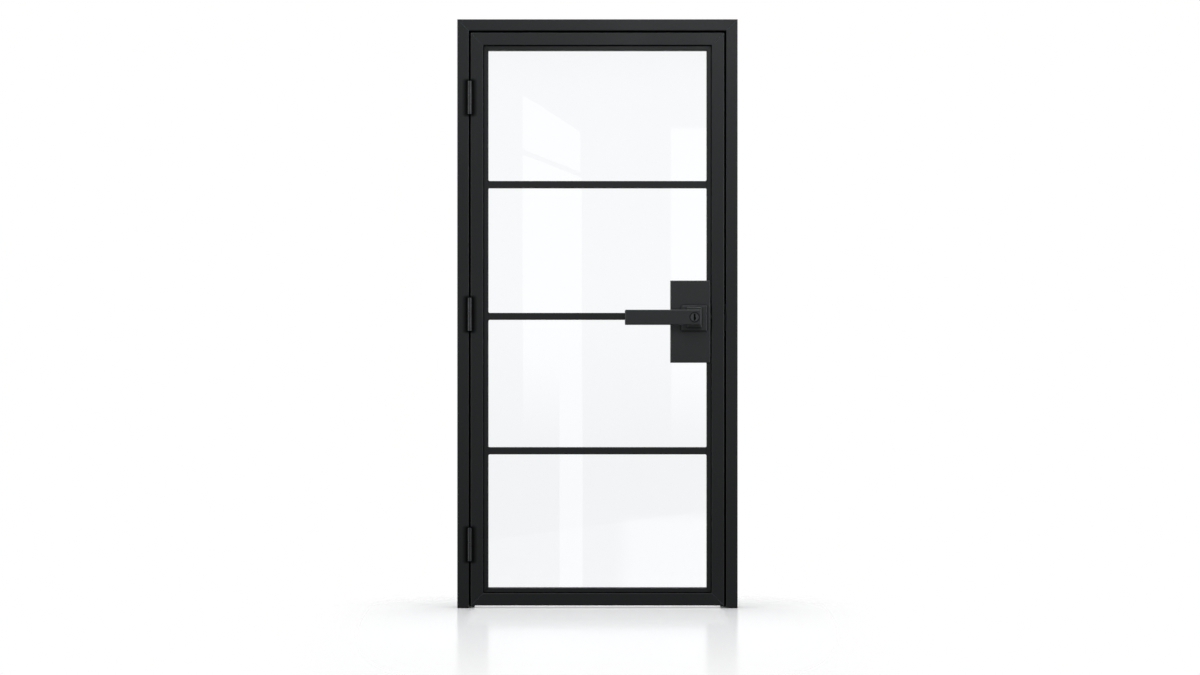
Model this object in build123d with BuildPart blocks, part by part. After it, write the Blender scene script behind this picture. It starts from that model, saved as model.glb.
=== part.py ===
from build123d import *
from math import sqrt
import os

# Frame: two jambs and a head of one hollow rebated section
frame_width = 1000
frame_height = 2100
frame_face = 41
stop_overlap = 12
stop_depth = 18
seal_space = 4
seal_width = 9
seal_wall = 1
seal_radius = 2
seal_relief = 0.3
wall = 2
edge_radius = 3
stop_radius = 2
groove = 1.5

# Leaf: hollow stiles and rails with a glazing lip set back from the front behind a fine crease
leaf_gap = 7
floor_gap = 9
leaf_depth = 50
stile_face = 45
lip_width = 17
lip_depth = 9
lip_setback = 10
lip_radius = 2
crease_width = 2
crease_depth = 2.5

# Glazing: four panes between three T bars, beaded from the back
bar_face = 25
bar_web = 5
bar_shares = (0.7505, 0.5052, 0.2549)
glass_depth = 8
glass_clearance = 4
tape_depth = 2
tape_recess = 1
bead_wall = 1.5
bead_radius = 1.5
bead_joint = 0.3
block_length = 80
block_share = 0.25

# Hinges: two plates in the gap and a knuckle standing proud of the front
hinge_length = 118
hinge_radius = 7
hinge_proud = 3
hinge_play = 1
hinge_from_top = 232
hinge_from_bottom = 217.5
hinge_middle_share = 0.5083
collar_length = 19
collar_bevel = 1
cap_length = 7
cap_radius = 1.2
spigot_length = 4
pin_radius = 4
pin_inset = 5
plate_width = 32
pocket_margin = 4.75
pocket_depth = 11
pocket_end = 1.5
hinge_relief = 1

# Lock: a welded case on the lock stile, under a folded cover
cover_width = 142
cover_height = 293.5
cover_groove = 4.5
cover_drop = 15.5
cover_sheet = 2
cover_radius = 3
case_lip = 12
lip_clearance = 1
lid_clearance = 0.5

# Lever set: square roses, flat levers and the square spindle through both
handle_backset = 107.5
handle_drop = 3.5
rose_size = 90
rose_drop = 3
rose_depth = 8
collar_width = 53
collar_height = 73
collar_depth = 6
rose_radius = 3
neck_radius = 14
neck_inset = 2
lever_reach = 246
lever_tail = 23.5
lever_height = 53.5
lever_depth = 16
lever_gap = 26
lever_radius = 3
spindle_width = 8
spindle_bore = 2.5
spindle_inset = 5
spindle_hole = 12
cylinder_radius = 17.5
cylinder_proud = 0.8
cylinder_seat = 13.5
cylinder_floor = 2
cylinder_bevel = 1
pocket_bevel = 1
plug_radius = 14.5
plug_tail = 20
tail_radius = 2
key_width = 6.5
key_height = 25
key_depth = 9
ward_width = 2
ward_height = 8
button_radius = 16
button_floor = 4
button_grip = 7
grip_length = 27
grip_radius = 2

# Latch: sprung bolt in a tube, pulled back by the follower
latch_width = 14
latch_height = 20
latch_length = 46
latch_throw = 18
latch_bevel = 10
latch_nose = 5
rod_radius = 4
tube_radius = 14.5
tube_wall = 1.5
housing_back = 34.5
housing_front = 37.5
housing_below = 16
housing_above = 31
housing_half = 10
follower_radius = 9.7
finger_width = 4
finger_reach = 23
finger_depth = 12
hook_width = 4
hook_reach = 9
tail_plate = 4
tail_rise = 3
tail_lift = 1
tail_depth = 8
tail_offset = 29.5
face_width = 34
face_height = 80
face_depth = 3
strike_width = 35
strike_front = 20
strike_height = 96
strike_depth = 2
strike_margin = 1.5
box_depth = 18
box_wall = 1

# Screws and bolts
screw_radius = 2.5
screw_head = 4.5
screw_sink = 2
screw_length = 12
screw_socket = 1.5
socket_depth = 1.2
plate_screw_pitch = 42
plate_screw_back = 22
face_screw_pitch = 32
strike_screw_pitch = 38
bolt_radius = 2.5
bolt_head = 4.5
bolt_head_depth = 4
bolt_bite = 5
bolt_offset = 36
fixing_radius = 4.5
fixing_pitches = (500, 1240)
head_pitch = 500

# Running fits, moving clearances and cut overrun
running = 0.05
moving = 0.3
overrun = 5

# Levels and edges that follow from the sizes
half_frame = frame_width / 2
leaf_front = -leaf_depth / 2
leaf_back = leaf_depth / 2
stop_front = leaf_back + seal_space
frame_back = stop_front + stop_depth
stop_reach = frame_face + leaf_gap + stop_overlap
half_leaf = half_frame - frame_face - leaf_gap
leaf_bottom = floor_gap
leaf_top = frame_height - frame_face - leaf_gap
lip_front = leaf_front + lip_setback
lip_back = lip_front + lip_depth
glass_front = lip_back + tape_depth
glass_back = glass_front + glass_depth
bead_front = glass_back + tape_depth
leaf_reach = stile_face + lip_width
crease_end = stile_face + crease_width
rebate = half_leaf - stile_face
rebate_bottom = leaf_bottom + stile_face
rebate_top = leaf_top - stile_face
sight = rebate - lip_width
sight_bottom = rebate_bottom + lip_width
sight_top = rebate_top - lip_width
upper_bar_z, middle_bar_z, lower_bar_z = [
    sight_bottom + share * (sight_top - sight_bottom) for share in bar_shares
]
fixing_y = (leaf_front + stop_front) / 2
fixing_heights = [frame_height / 2 + way * pitch / 2 for pitch in fixing_pitches for way in (-1, 1)]

hinge_x = -half_leaf - leaf_gap / 2
hinge_y = leaf_front - hinge_proud
hinge_heights = {
    "top": leaf_top - hinge_from_top,
    "middle": leaf_bottom + hinge_middle_share * (leaf_top - leaf_bottom),
    "bottom": leaf_bottom + hinge_from_bottom,
}
plate_depth = (leaf_gap - hinge_play) / 2
plate_front = hinge_y + hinge_radius + hinge_relief
plate_screw_y = plate_front + plate_screw_back

handle_x = half_leaf - handle_backset
handle_z = middle_bar_z - handle_drop
cover_right = rebate - cover_groove
cover_left = cover_right - cover_width
cover_bottom = handle_z - cover_drop - cover_height / 2
cover_top = cover_bottom + cover_height
case_left = cover_left + case_lip
case_bottom = cover_bottom + case_lip
case_top = cover_top - case_lip
lid_front = leaf_back - cover_sheet
case_front = lip_back - cover_sheet
bolt_spots = [(handle_x + way * bolt_offset, handle_z + way * bolt_offset) for way in (-1, 1)]

# Distances from the middle plane of the leaf, the same on both sides
rose_top = leaf_back + rose_depth
collar_top = rose_top + collar_depth
lever_back = collar_top + lever_gap
lever_face = lever_back + lever_depth
neck_end = leaf_back + neck_inset
spindle_end = lever_back - spindle_inset
cylinder_face = lever_face + cylinder_proud
cylinder_back = lever_face - cylinder_seat

tube_start = handle_x + housing_front
latch_tip = half_leaf + latch_throw
latch_back = latch_tip - latch_length
tail_x = handle_x + tail_offset
strike_x = half_frame - frame_face - strike_depth

# Cross-sections: distance in from the outer edge, then depth
frame_outline = [
    (0, leaf_front),
    (frame_face, leaf_front),
    (frame_face, stop_front),
    (stop_reach, stop_front),
    (stop_reach, frame_back),
    (0, frame_back),
]
frame_radii = [edge_radius, edge_radius, 0, stop_radius, edge_radius, edge_radius]
frame_void = [
    (wall, leaf_front + wall),
    (frame_face - wall, leaf_front + wall),
    (frame_face - wall, stop_front + wall),
    (stop_reach - wall, stop_front + wall),
    (stop_reach - wall, frame_back - wall),
    (wall, frame_back - wall),
]
leaf_outline = [
    (0, leaf_front),
    (stile_face, leaf_front),
    (stile_face, lip_front + crease_depth),
    (crease_end, lip_front + crease_depth),
    (crease_end, lip_front),
    (leaf_reach, lip_front),
    (leaf_reach, lip_back),
    (stile_face, lip_back),
    (stile_face, leaf_back),
    (0, leaf_back),
]
leaf_radii = [edge_radius, edge_radius, 0, 0, 0, lip_radius, lip_radius, 0, edge_radius, edge_radius]
tube_void = [
    (wall, leaf_front + wall),
    (stile_face - wall, leaf_front + wall),
    (stile_face - wall, leaf_back - wall),
    (wall, leaf_back - wall),
]
lip_void = [
    (crease_end + wall, lip_front + wall),
    (leaf_reach - wall, lip_front + wall),
    (leaf_reach - wall, lip_back - wall),
    (crease_end + wall, lip_back - wall),
]
seal_start = stop_reach - (stop_overlap + seal_width) / 2
seal_front = leaf_back + seal_relief
seal_outline = [
    (seal_start, seal_front),
    (seal_start + seal_width, seal_front),
    (seal_start + seal_width, stop_front),
    (seal_start, stop_front),
]
seal_radii = [seal_radius, seal_radius, 0, 0]
seal_void = [
    (seal_start + seal_wall, seal_front + seal_wall),
    (seal_start + seal_width - seal_wall, seal_front + seal_wall),
    (seal_start + seal_width - seal_wall, stop_front - seal_wall),
    (seal_start + seal_wall, stop_front - seal_wall),
]

os.makedirs("parts", exist_ok=True)


def keep(piece, name):
    """Name a finished piece and save it."""
    piece.part.label = name
    export_step(piece.part, "parts/" + name + ".step")


def section(points, radii=None):
    """A closed outline with rounded corners where radii are given."""
    with BuildLine() as outline:
        if radii is None:
            Polyline(*points, close=True)
        else:
            FilletPolyline(*points, radius=radii, close=True)
    make_face(outline.edges())


def upright(outline, radii, edge, inward, z_low, z_high, mode=Mode.ADD):
    """A vertical length of a cross-section."""
    with BuildSketch(Plane.XY.offset(z_low)) as profile:
        section([(edge + inward * u, y) for u, y in outline], radii)
    extrude(profile.sketch, amount=z_high - z_low, dir=(0, 0, 1), mode=mode)


def crosswise(outline, radii, edge, inward, x_low, x_high, mode=Mode.ADD):
    """A horizontal length of a cross-section."""
    with BuildSketch(Plane.YZ.offset(x_low)) as profile:
        section([(y, edge + inward * u) for u, y in outline], radii)
    extrude(profile.sketch, amount=x_high - x_low, dir=(1, 0, 0), mode=mode)


def block(x, y, z, mode=Mode.ADD):
    """A box between the two limits given on each axis."""
    with BuildSketch(Plane.XY.offset(z[0])) as profile:
        with Locations(((x[0] + x[1]) / 2, (y[0] + y[1]) / 2)):
            Rectangle(x[1] - x[0], y[1] - y[0])
    extrude(profile.sketch, amount=z[1] - z[0], dir=(0, 0, 1), mode=mode)


def slab(points, y_low, y_high, mode=Mode.ADD):
    """An upright plate of any outline."""
    with BuildSketch(Plane.XZ.offset(-y_high)) as profile:
        section(points)
    extrude(profile.sketch, amount=y_high - y_low, dir=(0, -1, 0), mode=mode)


def discs_x(x_low, x_high, radius, spots, mode=Mode.ADD):
    """Round bars along the width, at depths and heights."""
    with BuildSketch(Plane.YZ.offset(x_low)) as profile:
        with Locations(*spots):
            Circle(radius)
    extrude(profile.sketch, amount=x_high - x_low, dir=(1, 0, 0), mode=mode)


def discs_y(y_low, y_high, radius, spots, mode=Mode.ADD):
    """Round bars along the depth."""
    with BuildSketch(Plane.XZ.offset(-y_high)) as profile:
        with Locations(*spots):
            Circle(radius)
    extrude(profile.sketch, amount=y_high - y_low, dir=(0, -1, 0), mode=mode)


def discs_z(z_low, z_high, radius, spots, mode=Mode.ADD):
    """Round bars along the height."""
    with BuildSketch(Plane.XY.offset(z_low)) as profile:
        with Locations(*spots):
            Circle(radius)
    extrude(profile.sketch, amount=z_high - z_low, dir=(0, 0, 1), mode=mode)


def span(side, near, far):
    """The depths between two distances from the middle plane, on one side."""
    return sorted((side * near, side * far))


def mitre(corner, run, reach, standing):
    """Cut a member on the line that leaves a corner at half a right angle."""
    far = reach + overrun
    start = (corner[0] - run[0] * overrun, corner[1] - run[1] * overrun)
    finish = (corner[0] + run[0] * far, corner[1] + run[1] * far)
    waste = (finish[0], start[1]) if standing else (start[0], finish[1])
    slab([start, finish, waste], leaf_front - overrun, frame_back + overrun, Mode.SUBTRACT)


def mitre_groove(corner, run, u_low, u_high, y):
    """A fine V along the mitre on one face."""
    origin = (corner[0] + run[0] * u_low, y, corner[1] + run[1] * u_low)
    along = (run[0], 0, run[1])
    with BuildSketch(Plane(origin=origin, x_dir=(0, 1, 0), z_dir=along)) as profile:
        Rectangle(groove, groove, rotation=45)
    extrude(profile.sketch, amount=(u_high - u_low) * sqrt(2), dir=along, mode=Mode.SUBTRACT)


def frame_corner(side, standing):
    """Mitre a frame member at a top corner."""
    corner = (side * half_frame, frame_height)
    run = (-side, -1)
    mitre(corner, run, stop_reach, standing)
    mitre_groove(corner, run, 0, frame_face, leaf_front)
    mitre_groove(corner, run, 0, stop_reach, frame_back)


def leaf_corner(side, top, standing):
    """Mitre a leaf member at one of its corners."""
    corner = (side * half_leaf, leaf_top if top else leaf_bottom)
    run = (-side, -1 if top else 1)
    mitre(corner, run, leaf_reach, standing)
    mitre_groove(corner, run, 0, stile_face, leaf_front)
    mitre_groove(corner, run, crease_end, leaf_reach, lip_front)
    mitre_groove(corner, run, 0, stile_face, leaf_back)


def hinge_pockets(edge, inward, growth, mode):
    """Pockets in a member's front edge that clear the knuckles."""
    reach = hinge_radius + pocket_margin - abs(edge - hinge_x) + growth
    for z in hinge_heights.values():
        block(
            sorted((edge - inward * overrun, edge + inward * reach)),
            (leaf_front - overrun, leaf_front + pocket_depth + growth),
            (
                z - hinge_length / 2 - pocket_end - growth,
                z + hinge_length / 2 + pocket_end + growth,
            ),
            mode,
        )


def screws_x(x_face, way, spots, mode=Mode.ADD):
    """Countersunk screws along the width, heads flush with a face."""
    for y, z in spots:
        with BuildSketch(Plane.XY.offset(z)) as profile:
            section(
                [
                    (x_face, y),
                    (x_face, y + screw_head),
                    (x_face + way * screw_sink, y + screw_radius),
                    (x_face + way * screw_length, y + screw_radius),
                    (x_face + way * screw_length, y),
                ]
            )
        revolve(profile.sketch, axis=Axis((x_face, y, z), (1, 0, 0)), mode=mode)


def screw_sockets(x_face, way, spots):
    """Hexagon sockets in the screw heads."""
    with BuildSketch(Plane.YZ.offset(x_face)) as profile:
        with Locations(*spots):
            RegularPolygon(screw_socket, 6)
    extrude(profile.sketch, amount=socket_depth, dir=(way, 0, 0), mode=Mode.SUBTRACT)


def plate_screw_spots(z):
    """The three screws of a hinge plate."""
    return [(plate_screw_y, z + way * plate_screw_pitch) for way in (-1, 0, 1)]


all_plate_spots = [spot for z in hinge_heights.values() for spot in plate_screw_spots(z)]
face_spots = [(0, handle_z + way * face_screw_pitch) for way in (-1, 1)]
strike_spots = [(0, handle_z + way * strike_screw_pitch) for way in (-1, 1)]
jamb_edge = half_frame - frame_face
jamb_plate_face = -jamb_edge + plate_depth
leaf_plate_face = -half_leaf - plate_depth

# Frame members
with BuildPart() as hinge_jamb_void:
    upright(frame_void, None, -half_frame, 1, -overrun, frame_height + overrun)
    hinge_pockets(-jamb_edge, -1, wall, Mode.SUBTRACT)

with BuildPart() as hinge_jamb:
    upright(frame_outline, frame_radii, -half_frame, 1, 0, frame_height)
    frame_corner(-1, True)
    hinge_pockets(-jamb_edge, -1, 0, Mode.SUBTRACT)
    add(hinge_jamb_void.part, mode=Mode.SUBTRACT)
    discs_x(
        -half_frame - overrun,
        -jamb_edge + overrun,
        fixing_radius,
        [(fixing_y, z) for z in fixing_heights],
        Mode.SUBTRACT,
    )
    screws_x(jamb_plate_face, -1, all_plate_spots, Mode.SUBTRACT)
keep(hinge_jamb, "hinge_jamb")

with BuildPart() as strike_jamb:
    upright(frame_outline, frame_radii, half_frame, -1, 0, frame_height)
    frame_corner(1, True)
    upright(frame_void, None, half_frame, -1, -overrun, frame_height + overrun, Mode.SUBTRACT)
    discs_x(
        jamb_edge - overrun,
        half_frame + overrun,
        fixing_radius,
        [(fixing_y, z) for z in fixing_heights],
        Mode.SUBTRACT,
    )
    block(
        (jamb_edge - overrun, jamb_edge + wall + overrun),
        (-latch_width / 2 - strike_margin, latch_width / 2 + strike_margin),
        (
            handle_z - latch_height / 2 - strike_margin,
            handle_z + latch_height / 2 + strike_margin,
        ),
        Mode.SUBTRACT,
    )
    screws_x(strike_x, 1, strike_spots, Mode.SUBTRACT)
keep(strike_jamb, "strike_jamb")

with BuildPart() as frame_head:
    crosswise(frame_outline, frame_radii, frame_height, -1, -half_frame, half_frame)
    frame_corner(-1, False)
    frame_corner(1, False)
    crosswise(
        frame_void, None, frame_height, -1, -half_frame - overrun, half_frame + overrun, Mode.SUBTRACT
    )
    discs_z(
        frame_height - frame_face - overrun,
        frame_height + overrun,
        fixing_radius,
        [(-head_pitch / 2, fixing_y), (head_pitch / 2, fixing_y)],
        Mode.SUBTRACT,
    )
keep(frame_head, "frame_head")

# Seals on the stop, just clear of the closed leaf
seal_top = frame_height - seal_start
for seal_name, side in (("hinge_jamb_seal", -1), ("strike_jamb_seal", 1)):
    with BuildPart() as jamb_seal:
        upright(seal_outline, seal_radii, side * half_frame, -side, leaf_bottom, seal_top)
        upright(
            seal_void,
            None,
            side * half_frame,
            -side,
            leaf_bottom - overrun,
            seal_top + overrun,
            Mode.SUBTRACT,
        )
    keep(jamb_seal, seal_name)

head_seal_end = half_frame - seal_start - seal_width
with BuildPart() as head_seal:
    crosswise(seal_outline, seal_radii, frame_height, -1, -head_seal_end, head_seal_end)
    crosswise(
        seal_void,
        None,
        frame_height,
        -1,
        -head_seal_end - overrun,
        head_seal_end + overrun,
        Mode.SUBTRACT,
    )
keep(head_seal, "head_seal")

# Strike: plate on the jamb, a sheet box behind it and two screws
with BuildPart() as strike_plate:
    block(
        (strike_x, jamb_edge),
        (-strike_front, strike_width - strike_front),
        (handle_z - strike_height / 2, handle_z + strike_height / 2),
    )
    block(
        (strike_x - overrun, jamb_edge + overrun),
        (-latch_width / 2 - strike_margin, latch_width / 2 + strike_margin),
        (
            handle_z - latch_height / 2 - strike_margin,
            handle_z + latch_height / 2 + strike_margin,
        ),
        Mode.SUBTRACT,
    )
    screws_x(strike_x, 1, strike_spots, Mode.SUBTRACT)
keep(strike_plate, "strike_plate")

box_front = jamb_edge + wall
box_half_y = latch_width / 2 + strike_margin
box_half_z = latch_height / 2 + strike_margin
with BuildPart() as strike_box:
    block(
        (box_front, box_front + box_depth),
        (-box_half_y - box_wall, box_half_y + box_wall),
        (handle_z - box_half_z - box_wall, handle_z + box_half_z + box_wall),
    )
    block(
        (box_front - overrun, box_front + box_depth - box_wall),
        (-box_half_y, box_half_y),
        (handle_z - box_half_z, handle_z + box_half_z),
        Mode.SUBTRACT,
    )
keep(strike_box, "strike_box")

with BuildPart() as strike_screws:
    screws_x(strike_x, 1, strike_spots)
    screw_sockets(strike_x, 1, strike_spots)
keep(strike_screws, "strike_screws")

# Hinges: jamb side below, leaf side above, a collar between them
half_collar = collar_length / 2
half_hinge = hinge_length / 2
hinge_axis = [(hinge_x, hinge_y)]
for hinge_name, z in hinge_heights.items():
    with BuildPart() as jamb_flap:
        discs_z(z - half_hinge + cap_length, z - half_collar, hinge_radius, hinge_axis)
        block(
            (-jamb_edge, jamb_plate_face),
            (hinge_y, plate_front),
            (z - half_hinge + cap_length, z - half_collar),
        )
        block(
            (-jamb_edge, jamb_plate_face),
            (plate_front, plate_front + plate_width),
            (z - half_hinge, z + half_hinge),
        )
        discs_z(z - half_hinge, z, pin_radius, hinge_axis, Mode.SUBTRACT)
        screws_x(jamb_plate_face, -1, plate_screw_spots(z), Mode.SUBTRACT)
    keep(jamb_flap, hinge_name + "_jamb_flap")

    with BuildPart() as leaf_flap:
        discs_z(z + half_collar, z + half_hinge - cap_length, hinge_radius, hinge_axis)
        block(
            (leaf_plate_face, -half_leaf),
            (hinge_y, plate_front),
            (z + half_collar, z + half_hinge - cap_length),
        )
        block(
            (leaf_plate_face, -half_leaf),
            (plate_front, plate_front + plate_width),
            (z - half_hinge, z + half_hinge),
        )
        discs_z(z, z + half_hinge, pin_radius + running, hinge_axis, Mode.SUBTRACT)
        screws_x(leaf_plate_face, 1, plate_screw_spots(z), Mode.SUBTRACT)
    keep(leaf_flap, hinge_name + "_leaf_flap")

with BuildPart() as hinge_pins:
    for z in hinge_heights.values():
        discs_z(
            z - half_hinge + cap_length + pin_inset,
            z + half_hinge - cap_length - pin_inset,
            pin_radius,
            hinge_axis,
        )
keep(hinge_pins, "hinge_pins")

with BuildPart() as hinge_collars:
    for z in hinge_heights.values():
        discs_z(z - half_collar, z + half_collar - moving, hinge_radius, hinge_axis)
    chamfer(hinge_collars.edges().filter_by(GeomType.CIRCLE), length=collar_bevel)
    for z in hinge_heights.values():
        discs_z(z - half_hinge, z + half_hinge, pin_radius, hinge_axis, Mode.SUBTRACT)
keep(hinge_collars, "hinge_collars")

for cap_name, way in (("lower_hinge_caps", -1), ("upper_hinge_caps", 1)):
    with BuildPart() as caps:
        for z in hinge_heights.values():
            outer = z + way * half_hinge
            inner = outer - way * cap_length
            with BuildSketch(Plane.XZ.offset(-hinge_y)):
                section(
                    [
                        (hinge_x, outer),
                        (hinge_x + hinge_radius, outer),
                        (hinge_x + hinge_radius, inner),
                        (hinge_x + pin_radius, inner),
                        (hinge_x + pin_radius, inner - way * spigot_length),
                        (hinge_x, inner - way * spigot_length),
                    ],
                    [0, cap_radius, cap_radius / 2, 0, 0, 0],
                )
            revolve(axis=Axis((hinge_x, hinge_y, z), (0, 0, 1)))
    keep(caps, cap_name)

with BuildPart() as jamb_flap_screws:
    screws_x(jamb_plate_face, -1, all_plate_spots)
    screw_sockets(jamb_plate_face, -1, all_plate_spots)
keep(jamb_flap_screws, "jamb_flap_screws")

with BuildPart() as leaf_flap_screws:
    screws_x(leaf_plate_face, 1, all_plate_spots)
    screw_sockets(leaf_plate_face, 1, all_plate_spots)
keep(leaf_flap_screws, "leaf_flap_screws")

# Leaf members
with BuildPart() as hinge_stile_void:
    upright(tube_void, None, -half_leaf, 1, leaf_bottom - overrun, leaf_top + overrun)
    upright(lip_void, None, -half_leaf, 1, leaf_bottom - overrun, leaf_top + overrun)
    hinge_pockets(-half_leaf, 1, wall, Mode.SUBTRACT)

with BuildPart() as hinge_stile:
    upright(leaf_outline, leaf_radii, -half_leaf, 1, leaf_bottom, leaf_top)
    leaf_corner(-1, True, True)
    leaf_corner(-1, False, True)
    hinge_pockets(-half_leaf, 1, 0, Mode.SUBTRACT)
    add(hinge_stile_void.part, mode=Mode.SUBTRACT)
    screws_x(leaf_plate_face, 1, all_plate_spots, Mode.SUBTRACT)
keep(hinge_stile, "hinge_stile")

face_limits_y = (-face_width / 2, face_width / 2)
face_limits_z = (handle_z - face_height / 2, handle_z + face_height / 2)
with BuildPart() as lock_stile_void:
    upright(tube_void, None, half_leaf, -1, leaf_bottom - overrun, leaf_top + overrun)
    upright(lip_void, None, half_leaf, -1, leaf_bottom - overrun, leaf_top + overrun)
    block(
        (half_leaf - face_depth - wall, half_leaf + overrun),
        (face_limits_y[0] - wall, face_limits_y[1] + wall),
        (face_limits_z[0] - wall, face_limits_z[1] + wall),
        Mode.SUBTRACT,
    )

with BuildPart() as lock_stile:
    upright(leaf_outline, leaf_radii, half_leaf, -1, leaf_bottom, leaf_top)
    leaf_corner(1, True, True)
    leaf_corner(1, False, True)
    add(lock_stile_void.part, mode=Mode.SUBTRACT)
    block(
        (sight - overrun, rebate),
        (lip_front - overrun, lip_back + overrun),
        (cover_bottom - lip_clearance, cover_top + lip_clearance),
        Mode.SUBTRACT,
    )
    block(
        (half_leaf - face_depth, half_leaf + overrun),
        face_limits_y,
        face_limits_z,
        Mode.SUBTRACT,
    )
    discs_x(rebate - overrun, half_leaf + overrun, tube_radius, [(0, handle_z)], Mode.SUBTRACT)
    screws_x(half_leaf, -1, face_spots, Mode.SUBTRACT)
keep(lock_stile, "lock_stile")

for rail_name, top, edge, inward in (
    ("top_rail", True, leaf_top, -1),
    ("bottom_rail", False, leaf_bottom, 1),
):
    with BuildPart() as rail:
        crosswise(leaf_outline, leaf_radii, edge, inward, -half_leaf, half_leaf)
        leaf_corner(-1, top, False)
        leaf_corner(1, top, False)
        for void in (tube_void, lip_void):
            crosswise(
                void, None, edge, inward, -half_leaf - overrun, half_leaf + overrun, Mode.SUBTRACT
            )
    keep(rail, rail_name)

# Glazing bars: a flange level with the lip and a web through to the back
half_bar = bar_face / 2
half_web = bar_web / 2
flange_outline = [
    (-half_bar, lip_front),
    (half_bar, lip_front),
    (half_bar, lip_back),
    (-half_bar, lip_back),
]
flange_radii = [lip_radius, lip_radius, 0, 0]
for bar_name, bar_z, flange_end, web_end in (
    ("upper_bar", upper_bar_z, sight, rebate),
    ("middle_bar", middle_bar_z, cover_left, case_left),
    ("lower_bar", lower_bar_z, sight, rebate),
):
    with BuildPart() as bar:
        crosswise(flange_outline, flange_radii, bar_z, 1, -sight, flange_end)
        block(
            (-rebate, web_end),
            (lip_back, leaf_back),
            (bar_z - half_web, bar_z + half_web),
        )
    keep(bar, bar_name)


def stepped(left, right, low, high, step_x, step_low, step_high, corner):
    """A pane outline, with a corner cut out beside the lock where it meets it."""
    if corner == "low":
        lower_edge = [(left, low), (step_x, low), (step_x, step_low), (right, step_low)]
        return lower_edge + [(right, high), (left, high)]
    if corner == "high":
        upper_edge = [(right, step_high), (step_x, step_high), (step_x, high), (left, high)]
        return [(left, low), (right, low)] + upper_edge
    return [(left, low), (right, low), (right, high), (left, high)]


def bead_radii():
    """Rounded back corners of a bead channel."""
    return [0, bead_radius, bead_radius, 0, 0, 0, 0, 0]


def channel(low, high):
    """Section of a bead: a channel open towards the glass."""
    return [
        (low, bead_front),
        (low, leaf_back),
        (high, leaf_back),
        (high, bead_front),
        (high - bead_wall, bead_front),
        (high - bead_wall, leaf_back - bead_wall),
        (low + bead_wall, leaf_back - bead_wall),
        (low + bead_wall, bead_front),
    ]


def standing_bead(x_low, x_high, z_low, z_high):
    """A vertical bead."""
    upright(channel(x_low, x_high), bead_radii(), 0, 1, z_low, z_high)


def lying_bead(z_low, z_high, x_low, x_high):
    """A horizontal bead, cut short at both ends."""
    crosswise(channel(z_low, z_high), bead_radii(), 0, 1, x_low + bead_joint, x_high - bead_joint)


rows = {
    "bottom": (rebate_bottom, lower_bar_z - half_web, sight_bottom, lower_bar_z - half_bar, "none"),
    "lower": (
        lower_bar_z + half_web,
        middle_bar_z - half_web,
        lower_bar_z + half_bar,
        middle_bar_z - half_bar,
        "high",
    ),
    "upper": (
        middle_bar_z + half_web,
        upper_bar_z - half_web,
        middle_bar_z + half_bar,
        upper_bar_z - half_bar,
        "low",
    ),
    "top": (upper_bar_z + half_web, rebate_top, upper_bar_z + half_bar, sight_top, "none"),
}

for row_name, (seat_low, seat_high, sight_low, sight_high, corner) in rows.items():
    edge_x = rebate - glass_clearance
    pane_outline = stepped(
        -edge_x,
        edge_x,
        seat_low + glass_clearance,
        seat_high - glass_clearance,
        case_left - glass_clearance,
        case_top + glass_clearance,
        case_bottom - glass_clearance,
        corner,
    )
    tape_hole = stepped(
        -sight - tape_recess,
        sight + tape_recess,
        sight_low - tape_recess,
        sight_high + tape_recess,
        cover_left + tape_recess,
        cover_top - tape_recess,
        cover_bottom + tape_recess,
        corner,
    )
    with BuildPart() as pane:
        slab(pane_outline, glass_front, glass_back)
    keep(pane, row_name + "_pane")

    with BuildPart() as tape:
        slab(pane_outline, lip_back, glass_front)
        slab(pane_outline, glass_back, bead_front)
        slab(tape_hole, lip_back - overrun, bead_front + overrun, Mode.SUBTRACT)
    keep(tape, row_name + "_tape")

    with BuildPart() as beads:
        standing_bead(-rebate, -sight, seat_low, seat_high)
        if corner == "none":
            standing_bead(sight, rebate, seat_low, seat_high)
            lying_bead(seat_low, sight_low, -sight, sight)
            lying_bead(sight_high, seat_high, -sight, sight)
        if corner == "low":
            standing_bead(cover_left, case_left, seat_low, cover_top)
            standing_bead(sight, rebate, case_top, seat_high)
            lying_bead(seat_low, sight_low, -sight, cover_left)
            lying_bead(case_top, cover_top, case_left, sight)
            lying_bead(sight_high, seat_high, -sight, sight)
        if corner == "high":
            standing_bead(cover_left, case_left, cover_bottom, seat_high)
            standing_bead(sight, rebate, seat_low, case_bottom)
            lying_bead(sight_high, seat_high, -sight, cover_left)
            lying_bead(cover_bottom, case_bottom, case_left, sight)
            lying_bead(seat_low, sight_low, -sight, sight)
    keep(beads, row_name + "_beads")

with BuildPart() as setting_blocks:
    for row_name, (seat_low, seat_high, sight_low, sight_high, corner) in rows.items():
        left = -rebate + glass_clearance
        right = (case_left if corner == "low" else rebate) - glass_clearance
        for share in (block_share, 1 - block_share):
            middle = left + share * (right - left)
            block(
                (middle - block_length / 2, middle + block_length / 2),
                (glass_front, glass_back),
                (seat_low, seat_low + glass_clearance),
            )
keep(setting_blocks, "setting_blocks")

# Lock case, its covers and the roses
with BuildPart() as lock_case:
    block((case_left, rebate), (case_front, lid_front), (case_bottom, case_top))
    block((cover_left, rebate), (case_front, lip_back), (cover_bottom, cover_top))
    block(
        (case_left + cover_sheet, rebate - cover_sheet),
        (case_front - overrun, lid_front + overrun),
        (case_bottom + cover_sheet, case_top - cover_sheet),
        Mode.SUBTRACT,
    )
    discs_x(rebate - overrun, rebate + overrun, tube_radius, [(0, handle_z)], Mode.SUBTRACT)
keep(lock_case, "lock_case")

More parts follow.
